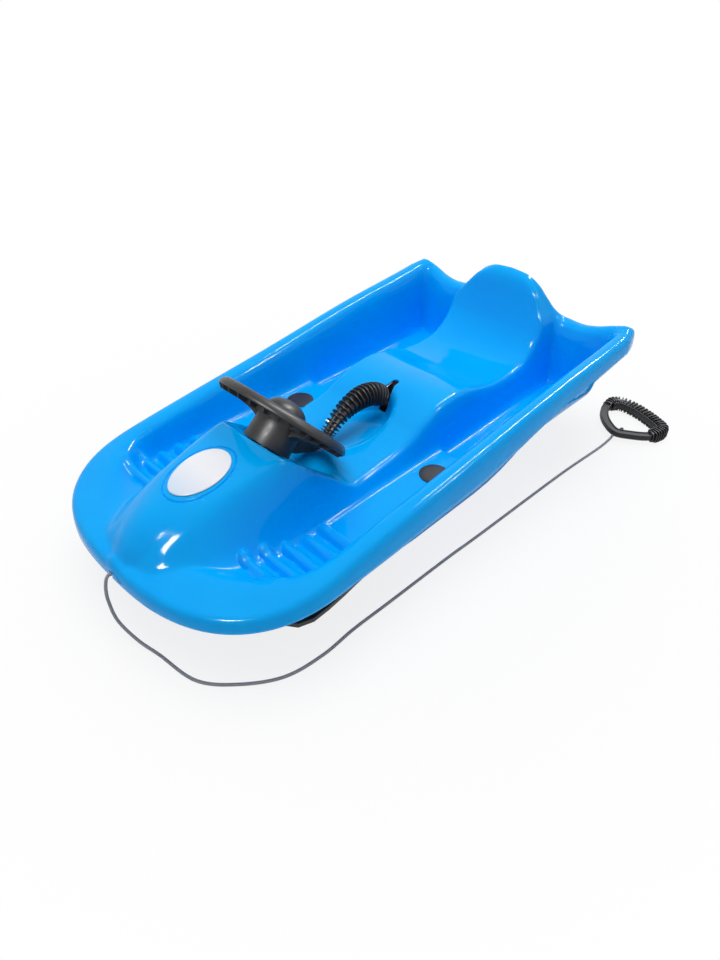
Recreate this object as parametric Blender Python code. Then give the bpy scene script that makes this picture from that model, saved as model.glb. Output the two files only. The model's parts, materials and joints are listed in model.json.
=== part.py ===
"""Steerable plastic bob sled: moulded tub, steering, two front skis, pull-up brake, tow rope.

Row frame: metres, +Z up, ground at z = 0, nose toward -Y, rider's left at +X, centred on the tub.
"""
import math

import bmesh
import bpy
from mathutils import Matrix, Vector

for old in list(bpy.data.objects):
    bpy.data.objects.remove(old, do_unlink=True)

# The tub formulas count y from the nose and z from 60 mm above the ground.
SHIFT_Y = -0.5
SHIFT_Z = 0.06
GAP = 0.0004

BLUE = (0.0, 0.27, 0.86)
BLACK = (0.028, 0.028, 0.030)
GREY = (0.085, 0.085, 0.090)
STEEL = (0.55, 0.56, 0.58)
ROPE = (0.30, 0.32, 0.35)
WHITE = (0.86, 0.88, 0.92)


def material(name, colour, rough, metal=0.0):
    mat = bpy.data.materials.new(name)
    mat.use_nodes = True
    shader = mat.node_tree.nodes["Principled BSDF"]
    shader.inputs["Base Color"].default_value = (*colour, 1.0)
    shader.inputs["Roughness"].default_value = rough
    shader.inputs["Metallic"].default_value = metal
    mat.diffuse_color = (*colour, 1.0)
    return mat


def mesh_object(name, verts, faces, colour, rough=0.4, metal=0.0):
    """One named node with its own material; face normals are turned outward."""
    mesh = bpy.data.meshes.new(name)
    mesh.from_pydata([tuple(v) for v in verts], [], faces)
    bm = bmesh.new()
    bm.from_mesh(mesh)
    bmesh.ops.remove_doubles(bm, verts=bm.verts, dist=1e-6)
    bmesh.ops.recalc_face_normals(bm, faces=bm.faces)
    bm.to_mesh(mesh)
    bm.free()
    obj = bpy.data.objects.new(name, mesh)
    bpy.context.collection.objects.link(obj)
    if colour is not None:
        mesh.materials.append(material(name, colour, rough, metal))
    return obj


def cutter(name, verts, faces):
    obj = mesh_object(name, verts, faces, None)
    obj.hide_render = True
    obj.display_type = "WIRE"
    return obj


def boolean(obj, tool, mode="DIFFERENCE"):
    mod = obj.modifiers.new(tool.name, "BOOLEAN")
    mod.operation = mode
    mod.solver = "EXACT"
    mod.object = tool


def frame_of(axis, up=(0, 0, 1)):
    """Right-handed side, up, axis vectors for a direction."""
    w = Vector(axis).normalized()
    u = Vector(up).cross(w)
    if u.length < 1e-6:
        u = Vector((1, 0, 0))
    u.normalize()
    return u, w.cross(u), w


def lathe(profile, origin, axis, seg):
    """Closed ring of (radius, height) points turned about an axis through origin."""
    u, v, w = frame_of(axis)
    origin = Vector(origin)
    verts = []
    faces = []
    rings = []
    for r, h in profile:
        base = origin + w * h
        if r < 1e-7:
            rings.append([len(verts)])
            verts.append(base)
            continue
        ring = []
        for k in range(seg):
            a = 2 * math.pi * k / seg
            ring.append(len(verts))
            verts.append(base + u * (r * math.cos(a)) + v * (r * math.sin(a)))
        rings.append(ring)
    closed = profile[0][0] > 1e-7 and profile[-1][0] > 1e-7
    pairs = list(zip(rings, rings[1:]))
    if closed:
        pairs.append((rings[-1], rings[0]))
    for low, high in pairs:
        for k in range(seg):
            n = (k + 1) % seg
            if len(low) == 1 and len(high) == 1:
                continue
            if len(low) == 1:
                faces.append((low[0], high[n], high[k]))
            elif len(high) == 1:
                faces.append((low[k], low[n], high[0]))
            else:
                faces.append((low[k], low[n], high[n], high[k]))
    return verts, faces


def rod(r, h0, h1, chamfer=0.0):
    if chamfer:
        return [(0, h0), (r - chamfer, h0), (r, h0 + chamfer), (r, h1 - chamfer), (r - chamfer, h1), (0, h1)]
    return [(0, h0), (r, h0), (r, h1), (0, h1)]


def tube(r_in, r_out, h0, h1):
    return [(r_in, h0), (r_out, h0), (r_out, h1), (r_in, h1)]


def box(lo, hi):
    (x0, y0, z0), (x1, y1, z1) = lo, hi
    verts = [(x, y, z) for z in (z0, z1) for y in (y0, y1) for x in (x0, x1)]
    faces = [(0, 2, 3, 1), (4, 5, 7, 6), (0, 1, 5, 4), (2, 6, 7, 3), (0, 4, 6, 2), (1, 3, 7, 5)]
    return verts, faces


def prism(outline, to_a, to_b):
    """A flat outline of 2-D points placed by two functions and joined."""
    n = len(outline)
    verts = [to_a(p) for p in outline] + [to_b(p) for p in outline]
    faces = [tuple(range(n)), tuple(range(n, 2 * n))]
    faces += [(k, (k + 1) % n, n + (k + 1) % n, n + k) for k in range(n)]
    return verts, faces


def sweep(path, section, up=(0, 0, 1)):
    """Section rings along a path; section(i) gives 2-D points; capped at both ends."""
    pts = [Vector(p) for p in path]
    verts = []
    faces = []
    count = 0
    side = None
    for i, p in enumerate(pts):
        t = (pts[min(i + 1, len(pts) - 1)] - pts[max(i - 1, 0)]).normalized()
        if side is None:
            side = Vector(up).cross(t).normalized()
        else:
            side = (side - t * side.dot(t)).normalized()
        top = t.cross(side)
        ring = section(i)
        count = len(ring)
        verts += [p + side * a + top * b for a, b in ring]
    for i in range(len(pts) - 1):
        for k in range(count):
            n = (k + 1) % count
            faces.append((i * count + k, i * count + n, (i + 1) * count + n, (i + 1) * count + k))
    last = (len(pts) - 1) * count
    faces.append(tuple(range(count)))
    faces.append(tuple(range(last, last + count)))
    return verts, faces


def circle(r, n, squash=1.0):
    return [(r * math.cos(2 * math.pi * k / n), squash * r * math.sin(2 * math.pi * k / n)) for k in range(n)]


def add(name, shape, colour, rough=0.4, metal=0.0):
    return mesh_object(name, shape[0], shape[1], colour, rough, metal)


def step(e0, e1, x):
    t = min(max((x - e0) / (e1 - e0), 0.0), 1.0)
    return t * t * (3 - 2 * t)


def curve(keys, x):
    """Smooth monotone curve through (x, value) keys."""
    if x <= keys[0][0]:
        return keys[0][1]
    if x >= keys[-1][0]:
        return keys[-1][1]
    i = max(k for k in range(len(keys) - 1) if keys[k][0] <= x)

    def slope(k):
        if k <= 0 or k >= len(keys) - 1:
            return 0.0
        a = (keys[k][1] - keys[k - 1][1]) / (keys[k][0] - keys[k - 1][0])
        b = (keys[k + 1][1] - keys[k][1]) / (keys[k + 1][0] - keys[k][0])
        return 0.0 if a * b <= 0 else 2 * a * b / (a + b)

    (x0, v0), (x1, v1) = keys[i], keys[i + 1]
    w = x1 - x0
    t = (x - x0) / w
    a = v1 - v0
    m0 = slope(i) * w if i > 0 else a
    m1 = slope(i + 1) * w if i + 1 < len(keys) - 1 else a
    return v0 + m0 * (t - 2 * t * t + t ** 3) + a * (3 * t * t - 2 * t ** 3) + m1 * (t ** 3 - t * t)


# Tub: plan of the rim's crown line, half width, from the rounded nose to the square tail.
NOSE_POWER = 2.8
NOSE_END = 0.2
CROWN_HALF = 0.249
NOSE_DEPTH = 0.188
CORNER_X = 0.195
TAIL_Y = 0.978
SHELL = 0.0035

# Plan widths from the rim inwards: outer wall, flat foot well, side wall of the console.
WALL_WIDE = 0.0505
WELL_WIDE = 0.058
CONSOLE_WALL_WIDE = 0.0245
WELL_MID = CROWN_HALF - WALL_WIDE - WELL_WIDE / 2
CONSOLE_WIDE = WELL_MID - WELL_WIDE / 2 - CONSOLE_WALL_WIDE


def crown_half(y):
    if y < NOSE_END:
        f = min((NOSE_END - y) / NOSE_DEPTH, 1.0)
        return CROWN_HALF * (1 - f ** NOSE_POWER) ** (1 / NOSE_POWER)
    return CROWN_HALF + 0.013 * (y - NOSE_END) / 0.8


def nose_line(a):
    return NOSE_END - NOSE_DEPTH * (1 - (a / CROWN_HALF) ** NOSE_POWER) ** (1 / NOSE_POWER)


def tail_line(a):
    return TAIL_Y - 0.026 * step(0.125, 0.055, a)


CORNER_Y = nose_line(CORNER_X)

RIM = [(0, .065), (.06, .066), (.12, .073), (.25, .090), (.5, .117), (.75, .144), (.93, .156), (1, .163)]
TAIL_RIM = [(0, .224), (.03, .221), (.06, .206), (.08, .180), (.097, .156), (.12, .145), (.155, .142),
            (.19, .147), (.225, .157), (.25, .163), (.28, .163)]
FLOOR = [(0, .055), (.05, .053), (.09, .049), (.125, .041), (.16, .033), (.2, .030), (.572, .030),
         (.592, .015), (1, .015)]
WALL = [(0, 0), (.010, .02), (.018, .07), (.024, .18), (.029, .40), (.034, .70), (.039, .90),
        (.045, .985), (WALL_WIDE, 1), (.3, 1)]
HOOD_TOP = [(0, .064), (.012, .068), (.03, .081), (.06, .098), (.1, .112), (.14, .124), (.18, .133),
            (.22, .141), (.258, .149), (.5, .149)]
HOOD_SHOULDER = [(0, 0), (.03, .014), (.06, .026), (.1, .040), (.14, .050), (.18, .058), (.22, .065),
                 (.258, .072), (.35, .080)]
HOOD_FOOT = [(0, .05), (.03, .070), (.06, .090), (.1, .115), (.15, .130), (.2, .136), (.4, .136)]
CONSOLE_TOP = [(.2, .056), (.39, .057), (.43, .060), (.467, .063), (.503, .069), (.525, .075),
               (.545, .084), (.572, .094), (.6, .1015), (.64, .105), (.675, .101), (.719, .090),
               (.762, .081), (.805, .078), (.846, .080), (.87, .088), (.885, .103), (.9, .121),
               (.912, .147), (.922, .172), (.931, .198), (.94, .216), (.95, .222), (1, .224)]
CONSOLE_HALF = [(.2, CONSOLE_WIDE), (.88, CONSOLE_WIDE - .002), (.906, CONSOLE_WIDE - .006),
                (1, CONSOLE_WIDE - .006)]
CONSOLE_WALL = [(-.012, 0), (-.005, .05), (.001, .20), (.007, .52), (.013, .83), (.019, .97),
                (CONSOLE_WALL_WIDE, 1)]
RIB_Y = (.145, .179, .213, .247, .281)
RIB_HEIGHT = (.0150, .0120, .0085, .0110, .0120)
RIB_HALF = 0.0125
RIB_IN = CONSOLE_WIDE + 0.003
RIB_OUT = CROWN_HALF - 0.035
HOOD_EDGE_Y = 0.258
HOOD_EDGE_Z = 0.149
HOOD_BACK_SLOPE = 1.15


def smooth_max(a, b, k):
    d = max(k - abs(a - b), 0.0)
    return max(a, b) + d * d / (4 * k)


def floor_height(x, y):
    z = curve(FLOOR, y)
    a = abs(x)
    for ry, rh in zip(RIB_Y, RIB_HEIGHT):
        d = abs(y - ry)
        if d < RIB_HALF:
            along = step(RIB_IN, RIB_IN + .012, a) * step(RIB_OUT, RIB_OUT - .014, a)
            z += rh * along * math.cos(math.pi / 2 * d / RIB_HALF) ** 1.3
    return z


def island_height(x, y):
    """Hood, sloping hood back, console, finger scoop, seat and backrest above the well floor."""
    a = abs(x)
    base = curve(FLOOR, y)
    top = curve(HOOD_TOP, y)
    shoulder = curve(HOOD_SHOULDER, y)
    foot = curve(HOOD_FOOT, y)
    sag = 0.012 - 0.008 * step(.06, .26, y)
    crown = top - sag * min(a / max(shoulder, .004), 1.0) ** 2
    hood = base + (crown - base) * (1 - step(shoulder * 0.9, foot, a))
    back = HOOD_EDGE_Z - HOOD_BACK_SLOPE * (y - HOOD_EDGE_Y)
    hood = -smooth_max(-hood, -back, .004)
    half = curve(CONSOLE_HALF, y)
    edge = curve(CONSOLE_TOP, y)
    inside = max(1 - (a / half) ** 2, 0.0)
    edge += .004 * inside * step(.46, .54, y) * step(.66, .60, y)
    edge -= .010 * inside * step(.66, .75, y) * step(.90, .84, y)
    if y > .86:
        edge = -smooth_max(-edge, .002 - curve(TAIL_RIM, a), .006)
    scoop = math.hypot(a / .054, (y - .488) / .098)
    edge += (.0545 - edge) * step(1.0, .74, scoop) if edge > .0545 else 0.0
    deck = base + (edge - base) * (1 - curve(CONSOLE_WALL, a - half))
    deck = base if y < HOOD_EDGE_Y else deck
    return max(smooth_max(hood - base, deck - base, .006 * step(0, .02, max(hood, deck) - base) + 1e-6), 0.0)


def tub_height(x, y):
    """Height of the tub's upper surface; the crown line is where the distance is 0."""
    a = abs(x)
    if y < NOSE_END:
        f = ((a / CROWN_HALF) ** NOSE_POWER + ((NOSE_END - y) / NOSE_DEPTH) ** NOSE_POWER) ** (1 / NOSE_POWER)
        side = (1 - f) * (NOSE_DEPTH + (CROWN_HALF - NOSE_DEPTH) * min(a / CROWN_HALF, 1) ** 2)
    else:
        side = crown_half(y) - a
    side = max(side, 0.0)
    rear = max(tail_line(a) - y, 0.0)
    share = (side + 1e-6) / (side + rear + 2e-6)
    rim = curve(RIM, y) * (1 - share) + curve(TAIL_RIM, a) * share
    inset = 0.022
    near = inset - math.hypot(max(inset - side, 0), max(inset - rear, 0))
    dist = min(side, rear) if min(side, rear) > inset else max(near, 0.0)
    base = floor_height(x, y)
    wall = (rim - base) * (1 - curve(WALL, dist))
    island = island_height(x, y)
    return base + smooth_max(wall, island, .008 * step(0, .02, max(wall, island)) + 1e-6)


ROWS = (.012, .030, .055, .085, .115, .132, .1405, .1495, .162, .1745, .1835, .196, .2085, .2175, .230, .2425,
        .2515, .260, .268, .2765, .2855, .300, .320, .345, .39, .43, .47, .51, .54, .560, .574, .592, .62, .66,
        .70, .75, .80, .84, .865, .885, .900, .912, .922, .933, .945)
COLUMNS = (0, CONSOLE_WIDE - .081, CONSOLE_WIDE - .046, CONSOLE_WIDE - .018, CONSOLE_WIDE - .006,
           CONSOLE_WIDE + .003, CONSOLE_WIDE + .012, CONSOLE_WIDE + .0275, WELL_MID + .0025,
           CROWN_HALF - .046, CROWN_HALF - .0355, CROWN_HALF - .027, CROWN_HALF - .018)
COLUMNS_END = CROWN_HALF + .0065
ROW_CORNER_SPAN = 0.25


def plan_point(u, v):
    """Plan position of column u (0 to 1) on row v (0 to the last row, then the tail row)."""
    if v < len(ROWS):
        y0 = ROWS[v]
        y1 = y0
        if y0 < ROW_CORNER_SPAN:
            y1 = CORNER_Y + (y0 - ROWS[0]) * (ROW_CORNER_SPAN - CORNER_Y) / (ROW_CORNER_SPAN - ROWS[0])
        half = crown_half(y1) if v else CORNER_X
        x = u * half
        a = u * CORNER_X
        bow = (CORNER_Y - nose_line(a)) / (CORNER_Y - nose_line(0))
        tail = step(.88, .945, y0) * (tail_line(x) - TAIL_Y)
        return x, y1 - (y1 - y0) * bow + tail * 0.6
    half = crown_half(TAIL_Y) - 0.006
    x = u * half
    return x, tail_line(x) - 0.006 * step(.6, 1.0, u)


def hull_grid():
    """Upper surface of the tub as rows of points from -X to +X."""
    u_list = [c / COLUMNS_END for c in COLUMNS] + [1.0]
    signed = [-u for u in reversed(u_list[1:])] + u_list
    grid = []
    for v in range(len(ROWS) + 1):
        line = []
        for u in signed:
            x, y = plan_point(abs(u), v)
            line.append(Vector((math.copysign(x, u), y, tub_height(x, y))))
        grid.append(line)
    return grid


# Outward roll of the rim from its crown line: distance out, share of the drop to the skirt's hem.
ROLL = ((.006, .04), (.0118, .20), (.0148, .52), (.0160, 1.0))
HEM = [(0, .040), (.1, .046), (.2, .053), (.3, .060), (.36, .066), (.5, .081), (.7, .103), (.83, .112),
       (1, .130)]
TAIL_HEM = [(0, .118), (.2, .118), (.26, .130), (.3, .130)]


def hull():
    grid = hull_grid()
    rows = len(grid)
    cols = len(grid[0])
    verts = [p for line in grid for p in line]
    faces = []
    for v in range(rows - 1):
        for c in range(cols - 1):
            a = v * cols + c
            faces.append((a, a + 1, a + cols + 1, a + cols))
    loop = list(range(cols))
    loop += [v * cols + cols - 1 for v in range(1, rows)]
    loop += [(rows - 1) * cols + c for c in range(cols - 2, -1, -1)]
    loop += [v * cols for v in range(rows - 2, 0, -1)]
    n = len(loop)
    crown = [verts[i].copy() for i in loop]
    out = []
    for k in range(n):
        reach = 2
        t = crown[(k + reach) % n] - crown[(k - reach) % n]
        out.append(Vector((t.y, -t.x, 0)).normalized())
    previous = loop
    for dist, share in ROLL:
        ring = []
        for k in range(n):
            p = crown[k] + out[k] * dist
            at_tail = step(.95, .985, p.y)
            hem = curve(HEM, p.y) * (1 - at_tail) + curve(TAIL_HEM, abs(p.x)) * at_tail
            p.z = crown[k].z + (hem - crown[k].z) * share
            ring.append(len(verts))
            verts.append(p)
        for k in range(n):
            m = (k + 1) % n
            faces.append((previous[k], ring[k], ring[m], previous[m]))
        previous = ring
    # Inner face of the shell: every point moved in along its normal.
    normals = [Vector((0, 0, 0)) for _ in verts]
    halves = []
    for f in faces:
        a, b, c, d = (verts[i] for i in f)
        normal = (c - a).cross(d - b)
        for i in f:
            normals[i] += normal
        if (c - a).length < (d - b).length:
            halves += [(f[0], f[1], f[2]), (f[0], f[2], f[3])]
        else:
            halves += [(f[0], f[1], f[3]), (f[1], f[2], f[3])]
    faces = halves
    count = len(verts)
    inner = []
    for i, p in enumerate(verts):
        q = p - normals[i].normalized() * SHELL
        if i in previous:
            q.z = p.z
        inner.append(q)
    verts += inner
    faces += [tuple(i + count for i in reversed(f)) for f in faces]
    for k in range(n):
        m = (k + 1) % n
        faces.append((previous[k], previous[k] + count, previous[m] + count, previous[m]))
    moved = [Vector((p.x, p.y + SHIFT_Y, p.z + SHIFT_Z)) for p in verts]
    return mesh_object("hull", moved, faces, BLUE, 0.18)


hull_obj = hull()

# Steering column: hub point on the wheel plane and the column's direction up to the rider.
TILT = math.radians(47.5)
AXIS = Vector((0, math.sin(TILT), math.cos(TILT)))
ARM_DIR = Vector((0, math.cos(TILT), -math.sin(TILT)))
HUB = Vector((0, -0.172, 0.214))
SHAFT_R = 0.008
COLLAR_END = -0.0530
COLLAR_R = 0.036


def on_column(s, w=0.0, x=0.0):
    """Point s metres down the column from the hub, w along the arm, x to the side."""
    return HUB - AXIS * s + ARM_DIR * w + Vector((x, 0, 0))


def column(name, profile, colour, seg=24, rough=0.4, metal=0.0):
    return add(name, lathe(profile, HUB, AXIS, seg), colour, rough, metal)


boolean(hull_obj, cutter("cut_column", *lathe(rod(0.0116, -0.10, -0.02), HUB, AXIS, 24)))
column("column_bush", [(SHAFT_R + GAP, -.078), (.0112, -.078), (.0112, -.0556), (.017, -.0556),
                       (.017, -.0542), (SHAFT_R + GAP, -.0542)], BLACK)
column("steering_shaft", rod(SHAFT_R, -.182, -.004, .001), STEEL, 20, 0.3, 1.0)
column("column_collar", [(SHAFT_R + GAP, -.018), (.033, -.018), (.0333, COLLAR_END), (COLLAR_R, COLLAR_END),
                         (.0345, -.014), (.0345, -.0115), (SHAFT_R + GAP, -.0115)], GREY, 32, 0.42)

# Steering wheel: smooth upper face, open cells under the rim, three dished spokes, hub.
WHEEL_R = 0.1175
RIM_WIDE = 0.025
CELLS = 22


def wheel():
    mid = WHEEL_R - RIM_WIDE / 2
    half = RIM_WIDE / 2
    verts = []
    faces = []
    stations = []
    for k in range(CELLS):
        base = 2 * math.pi * k / CELLS
        width = 2 * math.pi / CELLS
        stations += [(base, 0), (base + .14 * width, 0), (base + .20 * width, 1), (base + .94 * width, 1)]
    for angle, is_cell in stations:
        depth = .010 if is_cell else -.0085
        section = [(-half, -.009), (-half * .94, .003), (-half * .55, .0105), (half * .55, .0105),
                   (half * .94, .003), (half, -.009), (half * .74, -.010),
                   (half * .68, depth - .004), (-half * .68, depth - .004), (-half * .74, -.010)]
        for r, h in section:
            p = Vector((math.cos(angle) * (mid + r), 0, 0)) + ARM_DIR * (math.sin(angle) * (mid + r))
            verts.append(HUB + p + AXIS * h)
    per = 10
    total = len(stations)
    for i in range(total):
        j = (i + 1) % total
        for k in range(per):
            n = (k + 1) % per
            faces.append((i * per + k, i * per + n, j * per + n, j * per + k))
    return verts, faces


wheel_obj = add("steering_wheel", wheel(), GREY, 0.42)
hub_tool = cutter("join_hub", *lathe([(SHAFT_R + GAP, -.011), (.026, -.011), (.034, -.006), (.034, .004),
                                      (.030, .0055), (SHAFT_R + GAP, .0055)], HUB, AXIS, 32))
boolean(wheel_obj, hub_tool, "UNION")
# The side spokes have shallow webs under them and the rear one a deep gusset, as (radius, height) outlines.
SIDE_WEB = ((.0368, -.0040), (.0368, -.0300), (.0460, -.0240), (.0660, -.0150), (.0890, -.0120), (.0945, -.0110),
            (.0945, -.0040))
REAR_WEB = ((.0368, -.0040), (.0368, -.0460), (.0620, -.0400), (.0980, -.0235), (.1110, -.0130), (.1110, -.0065),
            (.0940, -.0050))
WEB_HALF = 0.011
for turn, web in ((0, SIDE_WEB), (90, REAR_WEB), (180, SIDE_WEB)):
    spin = Matrix.Rotation(math.radians(turn), 3, AXIS)
    along = spin @ Vector((1, 0, 0))
    across = AXIS.cross(along)
    spoke = []
    for r, low, high, wide in ((.020, -.0095, .003, .021), (.055, -.009, .004, .016), (.0947, -.0062, .0051, .019)):
        for side, h in ((-1, low), (1, low), (.8, high), (-.8, high)):
            spoke.append(HUB + along * r + across * (side * wide) + AXIS * h)
    quads = [(0, 1, 2, 3), (8, 9, 10, 11)]
    for i in (0, 4):
        quads += [(i + k, i + (k + 1) % 4, i + 4 + (k + 1) % 4, i + 4 + k) for k in range(4)]
    boolean(wheel_obj, cutter("join_spoke_%d" % turn, spoke, quads), "UNION")
    walls = [HUB + along * r + AXIS * h for r, h in web]
    shape = prism(walls, lambda p: p - across * WEB_HALF, lambda p: p + across * WEB_HALF)
    boolean(wheel_obj, cutter("join_web_%d" % turn, *shape), "UNION")

column("wheel_cap", [(0, .0062), (.030, .0062), (.0305, .010), (.0275, .017), (.0205, .0225), (.0105, .0252),
                     (0, .026)], GREY, 32, 0.35)

# Lower bearing, arm with ball, and the front beam that holds everything under the hood.
KING_X = CROWN_HALF - 0.084
KING_Y = -0.214
ARM_LEN = 0.050
BAR_Y = KING_Y - ARM_LEN
BEAM_LOW = 0.063
BEAM_TOP = 0.0855
king_pin_r = 0.004


def tilted_plate(s0, s1, outline):
    return prism(outline, lambda p: on_column(s0, p[1], p[0]), lambda p: on_column(s1, p[1], p[0]))


plate_outline = [(-.024, .047), (.024, .047), (.024, .010), (.016, -.014), (-.016, -.014), (-.024, .010)]
bracket = add("column_bracket", tilted_plate(.150, .158, plate_outline), BLACK)
foot = box((-.030, -.271, BEAM_TOP + GAP), (.030, -.212, BEAM_TOP + .0055))
boolean(bracket, cutter("join_foot", *foot), "UNION")
below = box((-.04, -.30, .05), (.04, -.20, BEAM_TOP + GAP))
boolean(bracket, cutter("cut_bracket_base", *below))
boolean(bracket, cutter("cut_bracket_bore", *lathe(rod(SHAFT_R + GAP, -.17, -.14), HUB, AXIS, 24)))
for side in (-1, 1):
    hole = lathe(rod(.0023, .06, .11), (side * .022, -.219, 0), (0, 0, 1), 16)
    boolean(bracket, cutter("cut_bracket_screw_%d" % (side + 1), *hole))

arm_outline = [(-.013, -.004), (-.009, -.012), (.009, -.012), (.013, -.004), (.0080, .026), (.0032, .037),
               (.0024, .051), (-.0024, .051), (-.0032, .037), (-.0080, .026)]
arm = add("steering_arm", tilted_plate(.166, .174, arm_outline), BLACK)
ball = [(.0045 * math.sin(math.pi * k / 8), -.0045 * math.cos(math.pi * k / 8)) for k in range(9)]
boolean(arm, cutter("join_ball", *lathe([(max(r, 0), h) for r, h in ball],
                                        on_column(.170, .053), (0, 0, 1), 16)), "UNION")
boolean(arm, cutter("cut_arm_bore", *lathe(rod(SHAFT_R + GAP, -.19, -.15), HUB, AXIS, 24)))
pin_hole = lathe(rod(.0019, -.03, .03), on_column(.170), (1, 0, 0), 12)
boolean(arm, cutter("cut_arm_pin", *pin_hole))
shaft_obj = bpy.data.objects["steering_shaft"]
boolean(shaft_obj, bpy.data.objects["cut_arm_pin"])
add("arm_pin", lathe(rod(.0016, -.0155, .0155), on_column(.170), (1, 0, 0), 12), STEEL, 0.3, 1.0)

BEAM_HALF = KING_X + 0.027
beam_right = [(.040, -.012), (.060, -.031), (KING_X - .015, -.031), (BEAM_HALF - .007, -.026), (BEAM_HALF, .012),
              (BEAM_HALF - .006, .022)]
beam_outline = [(-x, y) for x, y in beam_right] + [(x, y) for x, y in reversed(beam_right)]
beam = add("front_beam", prism(beam_outline, lambda p: (p[0], KING_Y + p[1], BEAM_LOW),
                               lambda p: (p[0], KING_Y + p[1], BEAM_TOP)), BLACK, 0.5)
GUIDE_X = 0.088
BEAM_SCREW_X = (KING_X - 0.016, KING_X + 0.018)
for side in (-1, 1):
    x = side * KING_X
    tag = "left" if side > 0 else "right"
    guide = box((side * GUIDE_X - .007, BAR_Y - .023, .040), (side * GUIDE_X + .007, KING_Y - .024, .0700))
    boolean(beam, cutter("join_guide_" + tag, *guide), "UNION")
    window = box((side * GUIDE_X - .02, BAR_Y - .0165, .0456), (side * GUIDE_X + .02, BAR_Y + .0165, .0550))
    boolean(beam, cutter("cut_guide_" + tag, *window))
    boolean(beam, cutter("join_boss_" + tag, *lathe(rod(.014, .0512, .070), (x, KING_Y, 0), (0, 0, 1), 20)),
            "UNION")
    boolean(beam, cutter("cut_king_" + tag, *lathe(rod(king_pin_r + GAP, .03, .0790), (x, KING_Y, 0),
                                                   (0, 0, 1), 20)))
    for k, at in enumerate(BEAM_SCREW_X):
        hole = lathe(rod(.0023, .05, .10), (side * at, KING_Y + .013, 0), (0, 0, 1), 12)
        boolean(beam, cutter("cut_beam_screw_%s_%d" % (tag, k), *hole))
        blind = lathe(rod(.0022, .08, .0890), (side * at, KING_Y + .013, 0), (0, 0, 1), 12)
        boolean(hull_obj, cutter("cut_hull_beam_%s_%d" % (tag, k), *blind))
    hole = lathe(rod(.0020, .0700, .10), (side * .022, -.219, 0), (0, 0, 1), 12)
    boolean(beam, cutter("cut_beam_bracket_%s" % tag, *hole))


def screw(name, x, y, head_z, length, shank, down=True):
    """Pan-head screw; the head stands at head_z and the shank runs away from it."""
    axis = (0, 0, -1) if down else (0, 0, 1)
    profile = [(0, -.0022), (.0028, -.0022), (.0040, -.0008), (.0040, 0), (shank, 0), (shank, length - .002),
               (0, length)]
    return add(name, lathe(profile, (x, y, head_z), axis, 12), STEEL, 0.3, 1.0)


for side in (-1, 1):
    tag = "left" if side > 0 else "right"
    for k, at in enumerate(BEAM_SCREW_X):
        screw("beam_screw_%s_%d" % (tag, k + 1), side * at, KING_Y + .013, BEAM_LOW - GAP, .0252, .0018, down=False)
    screw("bracket_screw_" + tag, side * .022, -.219, BEAM_TOP + .0055 + GAP, .018, .0016)

# Front skis: rounded, turned-up runners with a post, steering lever and peg.
SKI_FRONT = -0.375
SKI_BACK = -0.140


def ski(side):
    tag = "left" if side > 0 else "right"
    n = 11
    rings = []
    for i in range(n + 1):
        t = i / n
        y = SKI_FRONT + (SKI_BACK - SKI_FRONT) * (1 - math.cos(math.pi * t)) / 2
        f = (y - SKI_FRONT) / (SKI_BACK - SKI_FRONT)
        half = .040 * min(1, math.sin(math.pi * min(f, .28) / .56) ** 0.6)
        half *= 1 - .30 * step(.35, 1.0, f)
        half *= 1 - .45 * step(.93, 1.0, f)
        half = max(half, .006)
        lift = .030 * step(.28, 0.0, f) ** 1.3 + .006 * step(.86, 1.0, f)
        rings.append((y, half, lift))
    verts = []
    faces = []
    for y, half, lift in rings:
        section = [(-half, .0035), (-half * .9, .0012), (-.0080, .0012), (-.0050, 0), (.0050, 0), (.0080, .0012),
                   (half * .9, .0012), (half, .0035), (half, .0120), (half * .92, .0120), (half * .88, .0050),
                   (-half * .88, .0050), (-half * .92, .0120), (-half, .0120)]
        verts += [(side * KING_X + a, y, b + lift) for a, b in section]
    per = 14
    for i in range(n):
        for k in range(per):
            m = (k + 1) % per
            faces.append((i * per + k, i * per + m, (i + 1) * per + m, (i + 1) * per + k))
    faces.append(tuple(range(per)))
    faces.append(tuple(range(n * per, (n + 1) * per)))
    obj = add("ski_" + tag, (verts, faces), GREY, 0.45)
    x = side * KING_X
    post = lathe([(0, .003), (.020, .003), (.014, .018), (.014, .0500), (0, .0500)], (x, KING_Y, 0), (0, 0, 1), 20)
    boolean(obj, cutter("join_post_" + tag, *post), "UNION")
    lever = box((x - .007, BAR_Y - .006, .0370), (x + .007, KING_Y, .0445))
    boolean(obj, cutter("join_lever_" + tag, *lever), "UNION")
    peg = lathe(rod(.0030, .040, .0545), (x, BAR_Y, 0), (0, 0, 1), 16)
    boolean(obj, cutter("join_peg_" + tag, *peg), "UNION")
    bore = lathe(rod(king_pin_r + GAP, .0125, .07), (x, KING_Y, 0), (0, 0, 1), 20)
    boolean(obj, cutter("cut_post_" + tag, *bore))
    groove = lathe(tube(.0125, .020, .0440, .0460), (x, KING_Y, 0), (0, 0, 1), 20)
    boolean(obj, cutter("cut_post_groove_" + tag, *groove))
    add("kingpin_" + tag, lathe(rod(king_pin_r, .0135, .0785, .0006), (x, KING_Y, 0), (0, 0, 1), 20),
        STEEL, 0.3, 1.0)
    add("peg_clip_" + tag, lathe(tube(.0033, .0072, .0522, .0534), (x, BAR_Y, 0), (0, 0, 1), 16),
        STEEL, 0.35, 1.0)


ski(1)
ski(-1)

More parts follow.
